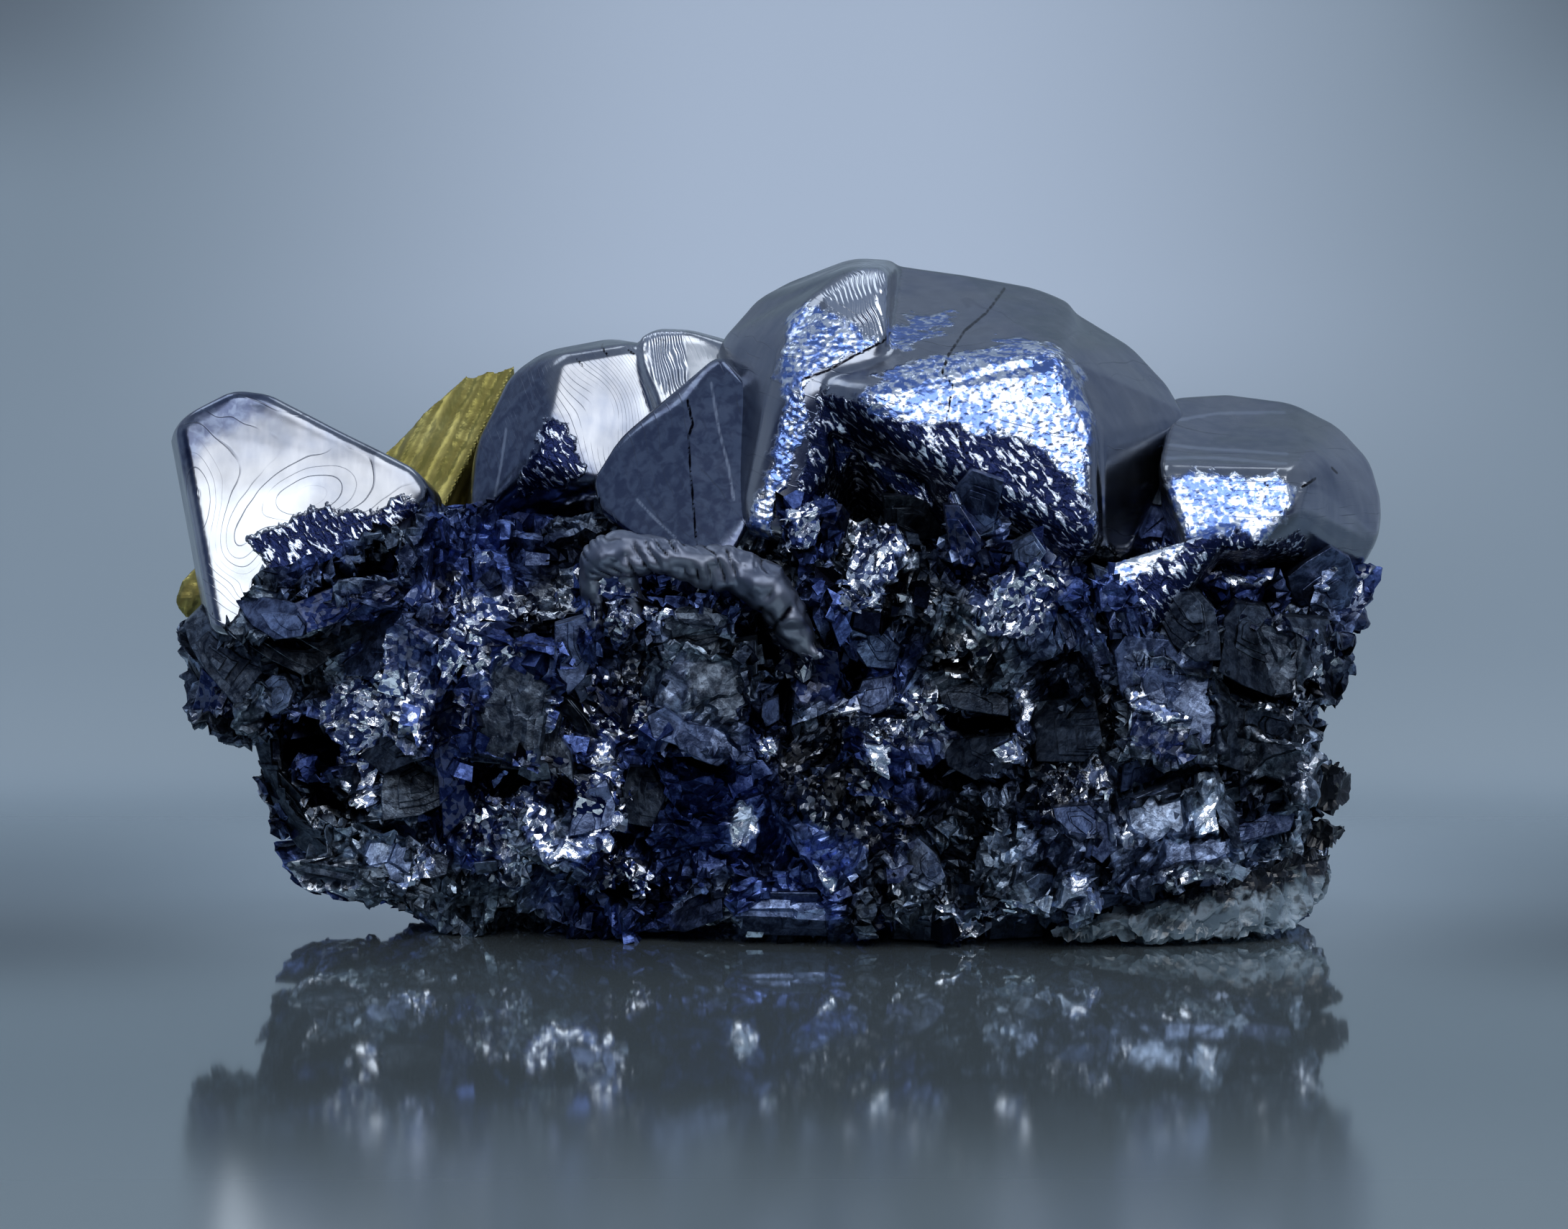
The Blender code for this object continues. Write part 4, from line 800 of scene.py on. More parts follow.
def crystal(name):
    """One crystal: rounded lobes grown into one skin, softened as etched galena is."""
    lobes, hollows, fineness = CRYSTALS[name]
    obj = joined(name, [hull_piece(name, corners, rounding) for rounding, corners in lobes])
    remesh(obj, fineness)
    for corners in hollows:
        cutter = hull_piece("cutter", corners, 0.4, 2)
        modify(obj, "BOOLEAN", operation="DIFFERENCE", solver="EXACT", object=cutter)
        bpy.data.objects.remove(cutter)
        remesh(obj, fineness)
    soften(obj, *SOFTENING)
    spots, ways = vertices_of(obj), normals_of(obj)
    swell = 0.045 * noise_at(spots, 6.5 * MM) + 0.012 * noise_at(spots, 2.2 * MM, 7)
    place_vertices(obj, keep_in_box(spots + ways * swell[:, None] * MM))
    paint_crystal(obj, name)
    shade_smooth(obj)
    return obj


def hull_planes(corners):
    """The planes that bound a hull: the way each faces and how far out it lies."""
    obj = hull_piece("hull", corners, flat_degrees=0.1)
    ways = np.array([face.normal[:] for face in obj.data.polygons])
    outs = np.array([face.normal.dot(face.center) for face in obj.data.polygons])
    bpy.data.objects.remove(obj)
    return ways, outs


def gap_to_crystals(spots):
    """How far each place is outside the nearest crystal, negative inside it."""
    gap = np.full(len(spots), 1.0)
    for lobes, hollows in CRYSTAL_PLANES:
        own = np.min([(spots @ ways.T - outs).max(axis=1) for ways, outs in lobes], axis=0)
        for ways, outs in hollows:
            own = np.maximum(own, -(spots @ ways.T - outs).max(axis=1))
        gap = np.minimum(gap, own)
    return gap


def near_crystal(spots):
    """Whether each place lies in a crystal or close to its skin."""
    clear = (spots[:, 2] > CREST) | (spots[:, 0] < LEFT_END)
    return gap_to_crystals(spots) < np.where(clear, OFF_CLEAR_SKIN, OFF_BURIED_SKIN) * MM


def grain_plan():
    """Patches of the broken galena, each with its own cleavage direction: centres and turns."""
    rng = random.Random(GRAIN_SEED)
    centres, turns = [], []
    wide, deep = GRAIN_OVAL
    for _ in range(GRAINS):
        around = rng.uniform(0, 2 * math.pi)
        centres.append((wide * math.cos(around), deep * math.sin(around), rng.uniform(*GRAIN_HEIGHTS)))
        lean = [rng.uniform(-GRAIN_LEAN, GRAIN_LEAN) for _ in range(3)]
        turns.append(np.array(Euler(lean).to_matrix()))
    return np.array(centres) * MM, np.array(turns)


def nearest_grain(spots):
    """The number of the grain that each place belongs to, its borders made ragged."""
    ragged = spots + 1.6 * MM * noises_at(spots, 3 * MM, (0, 11, 22))
    gaps = ((ragged[:, None, :] - GRAIN_CENTRES[None, :, :]) ** 2).sum(axis=2)
    return gaps.argmin(axis=1)


def nearest_cleavage(ways, turns):
    """The cleavage axis of its grain that each place faces most, and which way that points."""
    lean = np.einsum("ni,nij->nj", ways, turns)
    axis, rows = np.abs(lean).argmax(axis=1), np.arange(len(ways))
    return axis, rows, turns[rows, :, axis] * np.sign(lean[rows, axis])[:, None]


def cells(spots, size, salt):
    """The irregular cell each place lies in: its middle, its number, and the gap to the next."""
    base = np.floor(spots / size).astype(np.int64)
    first, second = np.full(len(spots), 1e9), np.full(len(spots), 1e9)
    middle, number = np.zeros_like(spots), np.zeros(len(spots), np.int64)
    for step in itertools.product((-1, 0, 1), repeat=3):
        cell = base + step
        name = named(cell)
        point = (cell + scattered(name, salt)) * size
        gap = np.linalg.norm(spots - point, axis=1)
        nearer = gap < first
        second = np.where(nearer, first, np.minimum(second, gap))
        first = np.where(nearer, gap, first)
        middle[nearer] = point[nearer]
        number[nearer] = name[nearer]
    return middle, number, second - first


def facet_push(spots, ways, size, most, left_open, salt):
    """How far each place moves out so that every cell becomes a flat facet along its cleavage, and
    whether it lies in an open crevice."""
    middle, number, border = cells(spots, size * MM, salt)
    _, _, up = nearest_cleavage(ways, GRAIN_TURNS[nearest_grain(middle)])
    up += 0.30 * (scattered(number, salt + 5) - 0.5)
    aside = middle - spots
    aside -= ways * (aside * ways).sum(axis=1)[:, None]
    push = (aside * up).sum(axis=1) / np.maximum((up * ways).sum(axis=1), 0.35)
    push += (scrambled(number, salt + 9) - 0.5) * most * MM
    push = push.clip(-most * MM, most * MM)
    crevice = (border < 0.13 * size * MM) & (scrambled(number, salt + 11) < left_open)
    return push, crevice


def rock_regions(spots, front):
    """What kind of rock each place shows: lightness, blueness, glitter, gap, evenness and how far it
    stands out."""
    flat = spots[:, [0, 2]] / MM
    _, number, _ = cells(spots, 3.2 * MM, 40)
    light = 0.20 + 0.50 * scrambled(number, 1) ** 1.3
    boost = 1 + 0.35 * smooth_step(flat[:, 1], 11, 5)
    blueness = smooth_step(noise_at(spots, 6 * MM, 2), -0.40, 0.30)
    blueness *= np.maximum(smooth_step(flat[:, 0], 16, 8), smooth_step(flat[:, 1], 20, 26)) * 0.7 + 0.3
    blueness *= 1 - 0.8 * smooth_step(flat[:, 0], -35, -40)
    glitter = 0.5 * smooth_step(noise_at(spots, 4 * MM, 6), 0.2, 0.6)
    tones = np.column_stack([light, blueness, glitter, np.zeros((len(spots), 3))])
    ragged = noises_at(spots, 0.9 * MM, (50, 51)) * 0.35
    rng = random.Random(REGION_SEED)
    for kind, *outline in REGIONS:
        lightness, blue, shine, out, even, lean = KINDS[kind]
        slope = rng.uniform(-0.35, 0.35), lean + rng.uniform(-0.16, 0.16)
        low, high = np.min(outline, axis=0), np.max(outline, axis=0)
        near = front & ((flat > low - 0.4) & (flat < high + 0.4)).all(axis=1)
        rows = np.nonzero(near)[0]
        depth = depth_inside(outline, flat[rows] + ragged[rows])
        rows = rows[depth > 0]
        from_middle = flat[rows] - (low + high) / 2
        tones[rows, 0] = lightness * (0.85 + 0.3 * scrambled(number[rows], 3))
        tones[rows, 1] = blue * (0.7 + 0.3 * tones[rows, 1])
        # Gap regions get painted shade
        tones[rows, 2:5] = shine, float(kind == "gap"), even
        if kind in BLOCK_KINDS:
            tones[rows, 5] = -BLOCK_BED
        else:
            tones[rows, 5] = out + np.clip(from_middle @ np.array(slope), -1.0, 1.0)
    tones[:, 0] *= boost
    return tones


def paint_rock(obj, tones):
    for column, label in enumerate(ROCK_TONES):
        paint(obj, label, tones[:, column])


def broken_core():
    """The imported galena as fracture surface: split fine, pushed out into cleavage facets and drawn in
    beneath the crystals."""
    core = copy_of_node("galena", "broken_galena")
    core.data.name = "broken_galena"
    longest = FIRST_SPLIT
    while longest > FRONT_FINENESS:
        longest = max(longest * SPLIT_SHARE, FRONT_FINENESS)
        split_long_edges(core, longest)
    spots, ways = vertices_of(core), normals_of(core)
    under = near_crystal(spots)
    tones = rock_regions(spots, (ways[:, 1] < -0.15) & ~under)
    uneven = 1 - tones[:, 4]
    push = np.zeros(len(spots))
    for level, (size, most, left_open) in enumerate(FACETS):
        moved, crevice = facet_push(spots, ways, size, most, left_open, 60 + 20 * level)
        crevice &= (tones[:, 4] < 0.3) & ~under
        moved *= uneven if level else np.where(tones[:, 4] > 0, 0.25, 1)
        push += np.where(crevice, -most * MM, moved)
        # Open crevices get painted shade
        tones[crevice, 3] = np.maximum(tones[crevice, 3], 0.7)
    push += 0.05 * MM * noise_at(spots, 0.7 * MM) * uneven + tones[:, 5] * MM - CORE_DRAWN_IN
    push = np.where(under, -BURIED_DEPTH, push)
    push -= RIDGE_CHANNEL_DEPTH * ((ridge_gap(spots) < RIDGE_CHANNEL) & ~under)
    spots = spots + ways * push[:, None]
    before, after = (
        np.interp(spots[:, 2] / MM, *np.transpose(line)) for line in (CORNER_BEFORE, CORNER_AFTER)
    )
    near = smooth_step(spots[:, 0] / MM, *CORNER_SPREAD) * (spots[:, 2] < CORNER_TOP)
    moved = np.maximum(spots[:, 0] + near * (after - before) * MM, after * MM - CORNER_SLACK)
    spots[:, 0] = np.where(spots[:, 2] < CORNER_TOP, moved, spots[:, 0])
    place_vertices(core, spots)
    soften(core, 0.4, 1)
    ends = core.vertex_groups.new(name="ends")
    ends.add(np.nonzero(np.abs(spots[:, 0]) > SMOOTHED_BEYOND)[0].tolist(), 1.0, "REPLACE")
    soften(core, 0.5, 3, vertex_group="ends")
    paint(core, "under_crystal", under.astype(float))
    paint_rock(core, tones)
    share = CORE_TRIANGLES / len(core.data.polygons)
    if share < 1:
        modify(core, "DECIMATE", ratio=share)
    place_vertices(core, keep_in_box(vertices_of(core)))
    return core


def split_long_edges(obj, longest):
    """Halves each edge longer than that, away from the crystals, and keeps all faces triangles."""
    edit(obj)
    bpy.ops.mesh.select_all(action="DESELECT")
    leave()
    spots, ends = vertices_of(obj), numbers_of(obj.data.edges, "vertices", int, 2)
    first, last = spots[ends[:, 0]], spots[ends[:, 1]]
    lengths = np.linalg.norm(first - last, axis=1)
    middles = (first + last) / 2
    front = (middles[:, 1] < FRONT_Y) | ((np.abs(middles[:, 0]) > ENDS_X) & (middles[:, 1] < 0))
    front &= middles[:, 2] > BASE_Z
    chosen = lengths > np.where(front, longest, max(longest, REAR_FINENESS))
    if longest < 2.5 * MM:
        chosen &= ~near_crystal(middles)
    chosen &= (middles[:, 2] >= 0.02 * MM) | (lengths >= 4 * MM)
    obj.data.edges.foreach_set("select", chosen)
    bpy.ops.object.mode_set(mode="EDIT")
    bpy.ops.mesh.select_mode(type="EDGE")
    bpy.ops.mesh.subdivide(number_cuts=1)
    bpy.ops.mesh.select_mode(type="VERT")
    bpy.ops.mesh.select_all(action="SELECT")
    bpy.ops.mesh.quads_convert_to_tris(quad_method="SHORTEST_DIAGONAL", ngon_method="BEAUTY")
    leave()


def flake_shapes():
    """The flakes that the rubble copies: (corners, triangles), one unit across, flat on top."""
    rng = random.Random(FLAKE_SEED)
    shapes = []
    for sides in FLAKE_SIDES:
        deselect()
        bpy.ops.mesh.primitive_cylinder_add(
            vertices=sides, radius=0.5, depth=FLAKE_DEPTH, end_fill_type="NGON",
        )
        obj = bpy.context.object
        draws = {}
        for vert in obj.data.vertices:
            angle = round(math.atan2(vert.co.y, vert.co.x), 2)
            draws.setdefault(angle, (rng.uniform(0.75, 1.3), rng.uniform(-0.3, 0.3)))
            reach, slew = draws[angle]
            taper = rng.uniform(0.72, 0.95) if vert.co.z > 0 else 1.1
            radius = 0.5 * reach * taper
            vert.co.x, vert.co.y = radius * math.cos(angle + slew), radius * math.sin(angle + slew)
        modify(obj, "TRIANGULATE")
        corners = vertices_of(obj)
        corners[:, 2] -= FLAKE_DEPTH / 2
        shapes.append((corners, np.array([list(face.vertices) for face in obj.data.polygons])))
        bpy.data.objects.remove(obj)
    return shapes


def block(outline, plane, forward, depth):
    """A block with a flat face of that outline, on a plane given by y = c + a x + b z, in millimetres:
    its corners in metres, the face's first, and its sides."""
    points = np.array(outline, float)
    after = np.roll(points, -1, axis=0)
    if (points[:, 0] * after[:, 1] - after[:, 0] * points[:, 1]).sum() < 0:
        points = points[::-1]
    y = plane[0] + points @ plane[1:] - forward
    front = np.column_stack([points[:, 0], y, points[:, 1]])
    middle = points.mean(axis=0)
    wide = middle + (points - middle) * 1.06
    back = np.column_stack([wide[:, 0], y + depth, wide[:, 1]])
    count = len(points)
    sides = [tuple(range(count)), tuple(range(2 * count - 1, count - 1, -1))]
    sides += [(k, count + k, count + (k + 1) % count, (k + 1) % count) for k in range(count)]
    return np.vstack([front * MM, back * MM]), sides


def fitted_plane(core_flat, core_y, outline):
    """The plane that lies on the core's front within an outline, or None where there is too little."""
    low, high = np.min(outline, axis=0), np.max(outline, axis=0)
    rows = np.nonzero(((core_flat > low) & (core_flat < high)).all(axis=1))[0]
    rows = rows[depth_inside(outline, core_flat[rows]) > 0]
    if len(rows) < FEWEST_CORNERS:
        return None
    table = np.column_stack([np.ones(len(rows)), core_flat[rows]])
    slope = np.linalg.lstsq(table, core_y[rows], rcond=None)[0][1:].clip(-0.7, 0.7)
    rest = core_y[rows] - core_flat[rows] @ slope
    return np.array([np.percentile(rest, 35), *slope])


def turned(plane, outline, aside, up):
    """A plane tilted about the middle of an outline."""
    middle = np.mean(outline, axis=0)
    return plane + np.array([-(middle @ (aside, up)), aside, up])


def blocks(core):
    """Cleaved blocks bedded in the core, each with a flat face; the larger ones carry thin steps."""
    spots, ways = vertices_of(core), normals_of(core)
    seen = (ways[:, 1] < -0.2) & (gap_to_crystals(spots) > 0.2 * MM)
    flat, y = spots[seen][:, [0, 2]] / MM, spots[seen][:, 1] / MM
    rng = random.Random(BLOCK_SEED)
    corners, faces, tones, start = [], [], [], 0
    for kind, *outline in REGIONS:
        plane = fitted_plane(flat, y, outline) if kind in BLOCK_KINDS else None
        if plane is None:
            continue
        lightness, blue, shine, out, _, lean = KINDS[kind]
        plane = turned(plane, outline, rng.uniform(-0.25, 0.25), lean + rng.uniform(-0.15, 0.15))
        out += rng.uniform(0.35, 0.65)
        out *= LOW_BLOCKS if abs(np.mean(outline, axis=0)[0]) > LOW_BLOCKS_BEYOND else 1
        sheets = [(outline, plane, out, BLOCK_DEPTH)]
        ring, size = np.array(outline), np.ptp(np.array(outline), axis=0).min()
        while size > SMALLEST_STEP:
            corner = ring[rng.randrange(len(ring))]
            share = rng.uniform(0.6, 0.8)
            ring, size = corner + (ring - corner) * share, size * share
            plane = turned(plane, ring, rng.uniform(-0.06, 0.06), rng.uniform(-0.06, 0.06))
            out += rng.uniform(0.08, 0.2)
            sheets.append((ring, plane, out, STEP_DEPTH))
        for sheet in sheets:
            made, sides = block(*sheet)
            corners.append(made)
            faces += [tuple(start + k for k in side) for side in sides]
            tone = (lightness * rng.uniform(0.75, 1.2), blue, shine, 0.0, 1.0)
            tones += [tone] * len(made)
            start += len(made)
    obj = points_piece("cleaved_blocks", np.concatenate(corners).tolist(), faces)
    paint_rock(obj, np.array(tones))
    bevel(obj, 0.06, 1)
    place_vertices(obj, keep_in_box(vertices_of(obj)))
    return obj


def ridge_line():
    return np.array([np.array(Vector(centre) * MM + SLIDE) for centre, _ in RIDGE])


def ridge_gap(spots):
    """How far each place is from the ribbed ridge's middle line."""
    return gap_to_line(ridge_line(), spots)


def bedded_places(core, count, rng):
    """Places spread over the broken galena by area, with the way each surface faces."""
    mesh = core.data
    mesh.calc_loop_triangles()
    corners = numbers_of(mesh.loop_triangles, "vertices", int, 3)
    spots, normals = vertices_of(core), normals_of(core)
    a, b, c = (spots[corners[:, k]] for k in range(3))
    areas = np.linalg.norm(np.cross(b - a, c - a), axis=1)
    under, even = (
        numbers_of(mesh.attributes[name].data, "value", np.float32)[corners].max(axis=1)
        for name in ("under_crystal", "even")
    )
    centres = (a + b + c) / 3
    hidden = (under > 0.5) | (centres[:, 2] < 0.35 * MM) | (ridge_gap(centres) < 2.7 * MM)
    weight = np.where(hidden, 0, areas) * (1 - even.clip(0, 0.9))
    aside = np.abs(centres[:, 0]) / MM
    weight *= (1 - 0.5 * smooth_step(aside, *THINNED)) * (1 - 0.85 * smooth_step(aside, *NEARLY_BARE))
    chosen = rng.choice(len(areas), size=count, p=weight / weight.sum())
    shares = rng.dirichlet((1, 1, 1), size=count)
    places = (spots[corners[chosen]] * shares[:, :, None]).sum(axis=1)
    ways = normals[corners[chosen]].mean(axis=1)
    return places, ways / np.linalg.norm(ways, axis=1)[:, None]


def flake_turns(ways, grain, rng):
    """How each flake is turned: its top lies along the cleavage nearest to the surface."""
    turns = GRAIN_TURNS[grain]
    axis, rows, up = nearest_cleavage(ways, turns)
    side = turns[rows, :, (axis + 1) % 3]
    up = up + 0.25 * ways + rng.normal(0, 0.06, ways.shape)
    loose = rng.random(len(ways)) < 0.10
    up = np.where(loose[:, None], ways + rng.normal(0, 0.35, ways.shape), up)
    up /= np.linalg.norm(up, axis=1)[:, None]
    side -= up * (side * up).sum(axis=1)[:, None]
    side /= np.linalg.norm(side, axis=1)[:, None]
    spin = (math.pi / 2) * rng.integers(0, 4, len(ways)) + rng.normal(0, 0.12, len(ways))
    first = side * np.cos(spin)[:, None] + np.cross(up, side) * np.sin(spin)[:, None]
    return np.stack([first, np.cross(up, first), up], axis=2)


def flakes(name, core, shapes, count, sizes, lift, seed):
    """Cleavage flakes bedded in the core, those of a grain lying parallel."""
    rng = np.random.default_rng(seed)
    places, ways = bedded_places(core, count, rng)
    turns = flake_turns(ways, nearest_grain(places), rng)
    kinds = rng.integers(0, len(shapes), size=count)
    scale = sizes[0] * (sizes[1] / sizes[0]) ** (rng.random(count) ** 1.4) * MM
    stretch = scale[:, None] * rng.uniform(0.65, 1.35, size=(count, 3))
    ends = smooth_step(np.abs(places[:, 0]) / MM, *THINNED)
    stretch *= (1 - 0.5 * ends)[:, None]
    lifts = scale * rng.uniform(lift[0], lift[1], count) * (1 - 0.5 * ends) - 0.15 * MM * ends
    tones = rock_regions(places, ways[:, 1] < -0.15)
    tones[:, 0] *= rng.uniform(0.5, 1.3, count)
    # Flakes carry half the painted crevice shade of where they lie
    tones[:, 3] *= 0.5
    all_corners, all_faces, start = [], [], 0
    for i, kind in enumerate(kinds):
        corners, triangles = shapes[kind]
        all_corners.append((corners * stretch[i]) @ turns[i].T + places[i] + ways[i] * lifts[i])
        all_faces.append(triangles + start)
        start += len(corners)
    spots = keep_in_box(np.concatenate(all_corners))
    obj = points_piece(name, spots.tolist(), np.concatenate(all_faces).tolist())
    paint_rock(obj, np.repeat(tones, [len(shapes[kind][0]) for kind in kinds], axis=0))
    return obj


def distance_along(line, spots):
    """How far along a line of points the nearest point of it is, for each place."""
    starts, runs = line[:-1], line[1:] - line[:-1]
    lengths = np.linalg.norm(runs, axis=1)
    before = np.concatenate([[0], np.cumsum(lengths)[:-1]])
    share = ((spots[:, None, :] - starts[None]) * runs[None]).sum(axis=2) / (lengths ** 2)[None]
    share = share.clip(0, 1)
    nearest = starts[None] + share[:, :, None] * runs[None]
    best = np.linalg.norm(spots[:, None, :] - nearest, axis=2).argmin(axis=1)
    return before[best] + share[np.arange(len(spots)), best] * lengths[best]


def ridge_piece():
    """The twisted, ribbed ridge: a tube along its line, swollen in close ribs."""
    curve = bpy.data.curves.new("ribbed_ridge", "CURVE")
    curve.dimensions = "3D"
    curve.bevel_depth = 1.0
    curve.bevel_resolution = 6
    curve.use_fill_caps = True
    for stations in (RIDGE, RIDGE_SPUR):
        line = curve.splines.new("NURBS")
        line.points.add(len(stations) - 1)
        for point, (centre, radius) in zip(line.points, stations):
            point.co = (*(Vector(centre) * MM + SLIDE), 1)
            point.radius = radius * MM
        line.order_u = 3
        line.use_endpoint_u = True
        line.resolution_u = 12
    obj = linked("ribbed_ridge", curve)
    pick(obj)
    bpy.ops.object.convert(target="MESH")
    remesh(obj, RIDGE_FINENESS)
    soften(obj, *SOFTENING)
    spots, ways = vertices_of(obj), normals_of(obj)
    along = distance_along(ridge_line(), spots)
    twist = 0.5 * MM * noise_at(spots, 2.2 * MM, 4) + 0.6 * (spots[:, 2] - spots[:, 2].mean())
    rib = (along + twist) / RIB_SPACING % 1 - 0.5
    groove = np.exp(-((rib / GROOVE_WIDTH) ** 2)) * smooth_step(noise_at(spots, 1.3 * MM, 8), -0.35, 0.15)
    lumps = 0.42 * noise_at(spots, 2.4 * MM, 14) + 0.24 * noise_at(spots, 0.9 * MM, 15)
    place_vertices(obj, spots + ways * (MM * (lumps - GROOVE_DEPTH * groove))[:, None])
    soften(obj, 0.5, 1)
    for label, value in RIDGE_SKIN.items():
        paint(obj, label, np.full(len(spots), float(value)))
    # Painted shade darkens the grooves between the ribs
    paint(obj, "crack_and_groove_shade", 0.17 - 0.105 * groove)
    # Painted glints and painted shade streak its torn end
    paint(obj, "worn_light_and_shade", 2.2 * smooth_step(along / MM, *TORN_FROM_TO) - 1.6)
    paint(obj, "crease", along / MM)
    shade_smooth(obj)
    return obj


def feed(made, sockets):
    """Sets a shader node's sockets, or links them where the value is another node's output."""
    for key, value in sockets.items():
        if isinstance(value, bpy.types.NodeSocket):
            value.id_data.links.new(value, made.inputs[key])
        else:
            made.inputs[key].default_value = value


def node(kind, sockets, **settings):
    """A shader node in the same tree as the ones that feed it, with its settings and sockets."""
    tree = next(value.id_data for value in sockets.values() if isinstance(value, bpy.types.NodeSocket))
    made = tree.nodes.new(kind)
    for key, value in settings.items():
        setattr(made, key, value)
    feed(made, sockets)
    return made


def fresh_material(name):
    """A new material, its shader, and the place on the object that its patterns read."""
    made = bpy.data.materials.new(name)
    made.use_nodes = True
    nodes = made.node_tree.nodes
    return made, nodes["Principled BSDF"], nodes.new("ShaderNodeTexCoord").outputs["Object"]


def maths(operation, *values):
    return node("ShaderNodeMath", dict(enumerate(values)), operation=operation).outputs[0]


plus, minus, times, times_plus = (
    functools.partial(maths, operation) for operation in ("ADD", "SUBTRACT", "MULTIPLY", "MULTIPLY_ADD")
)


def vectors(operation, sockets):
    return node("ShaderNodeVectorMath", sockets, operation=operation).outputs[0]


def ramp(value, low, high, to_low=0.0, to_high=1.0):
    """Maps a range of a value on to another, smoothly and clamped."""
    sockets = {"Value": value, "From Min": low, "From Max": high, "To Min": to_low, "To Max": to_high}
    return node("ShaderNodeMapRange", sockets, interpolation_type="SMOOTHSTEP", clamp=True).outputs["Result"]


def grainy(where, scale, detail=2.0, distortion=0.0, roughness=0.5):
    sockets = {"Vector": where, "Scale": scale, "Detail": detail, "Distortion": distortion}
    return node("ShaderNodeTexNoise", {**sockets, "Roughness": roughness}).outputs["Fac"]


def mapped(where, kind="POINT", **sockets):
    return node("ShaderNodeMapping", {"Vector": where, **sockets}, vector_type=kind).outputs["Vector"]


def parts_of(vector):
    """The x, y and z of a vector."""
    return node("ShaderNodeSeparateXYZ", {"Vector": vector}).outputs


def painted(where, name):
    """What the mesh has stored under that name."""
    made = where.id_data.nodes.new("ShaderNodeAttribute")
    made.attribute_name = name
    return made.outputs["Fac"]


def blend(share, first, second):
    """Mixes two colours, each a socket or (red, green, blue)."""
    first, second = ((*value, 1) if isinstance(value, tuple) else value for value in (first, second))
    sockets = {0: share, 6: first, 7: second}
    return node("ShaderNodeMix", sockets, data_type="RGBA", blend_type="MIX", clamp_factor=True).outputs[2]


def layered(colour, *layers):
    """Lays (share, colour) over a colour, one after another."""
    for share, top in layers:
        colour = blend(share, colour, top)
    return colour


def relief_of(*layers):
    """Bumps laid over one another, each (height, depth in metres)."""
    under = {}
    for height, depth in layers:
        bump = node("ShaderNodeBump", {"Height": height, "Distance": depth, **under})
        under = {"Normal": bump.outputs["Normal"]}
    return under["Normal"]


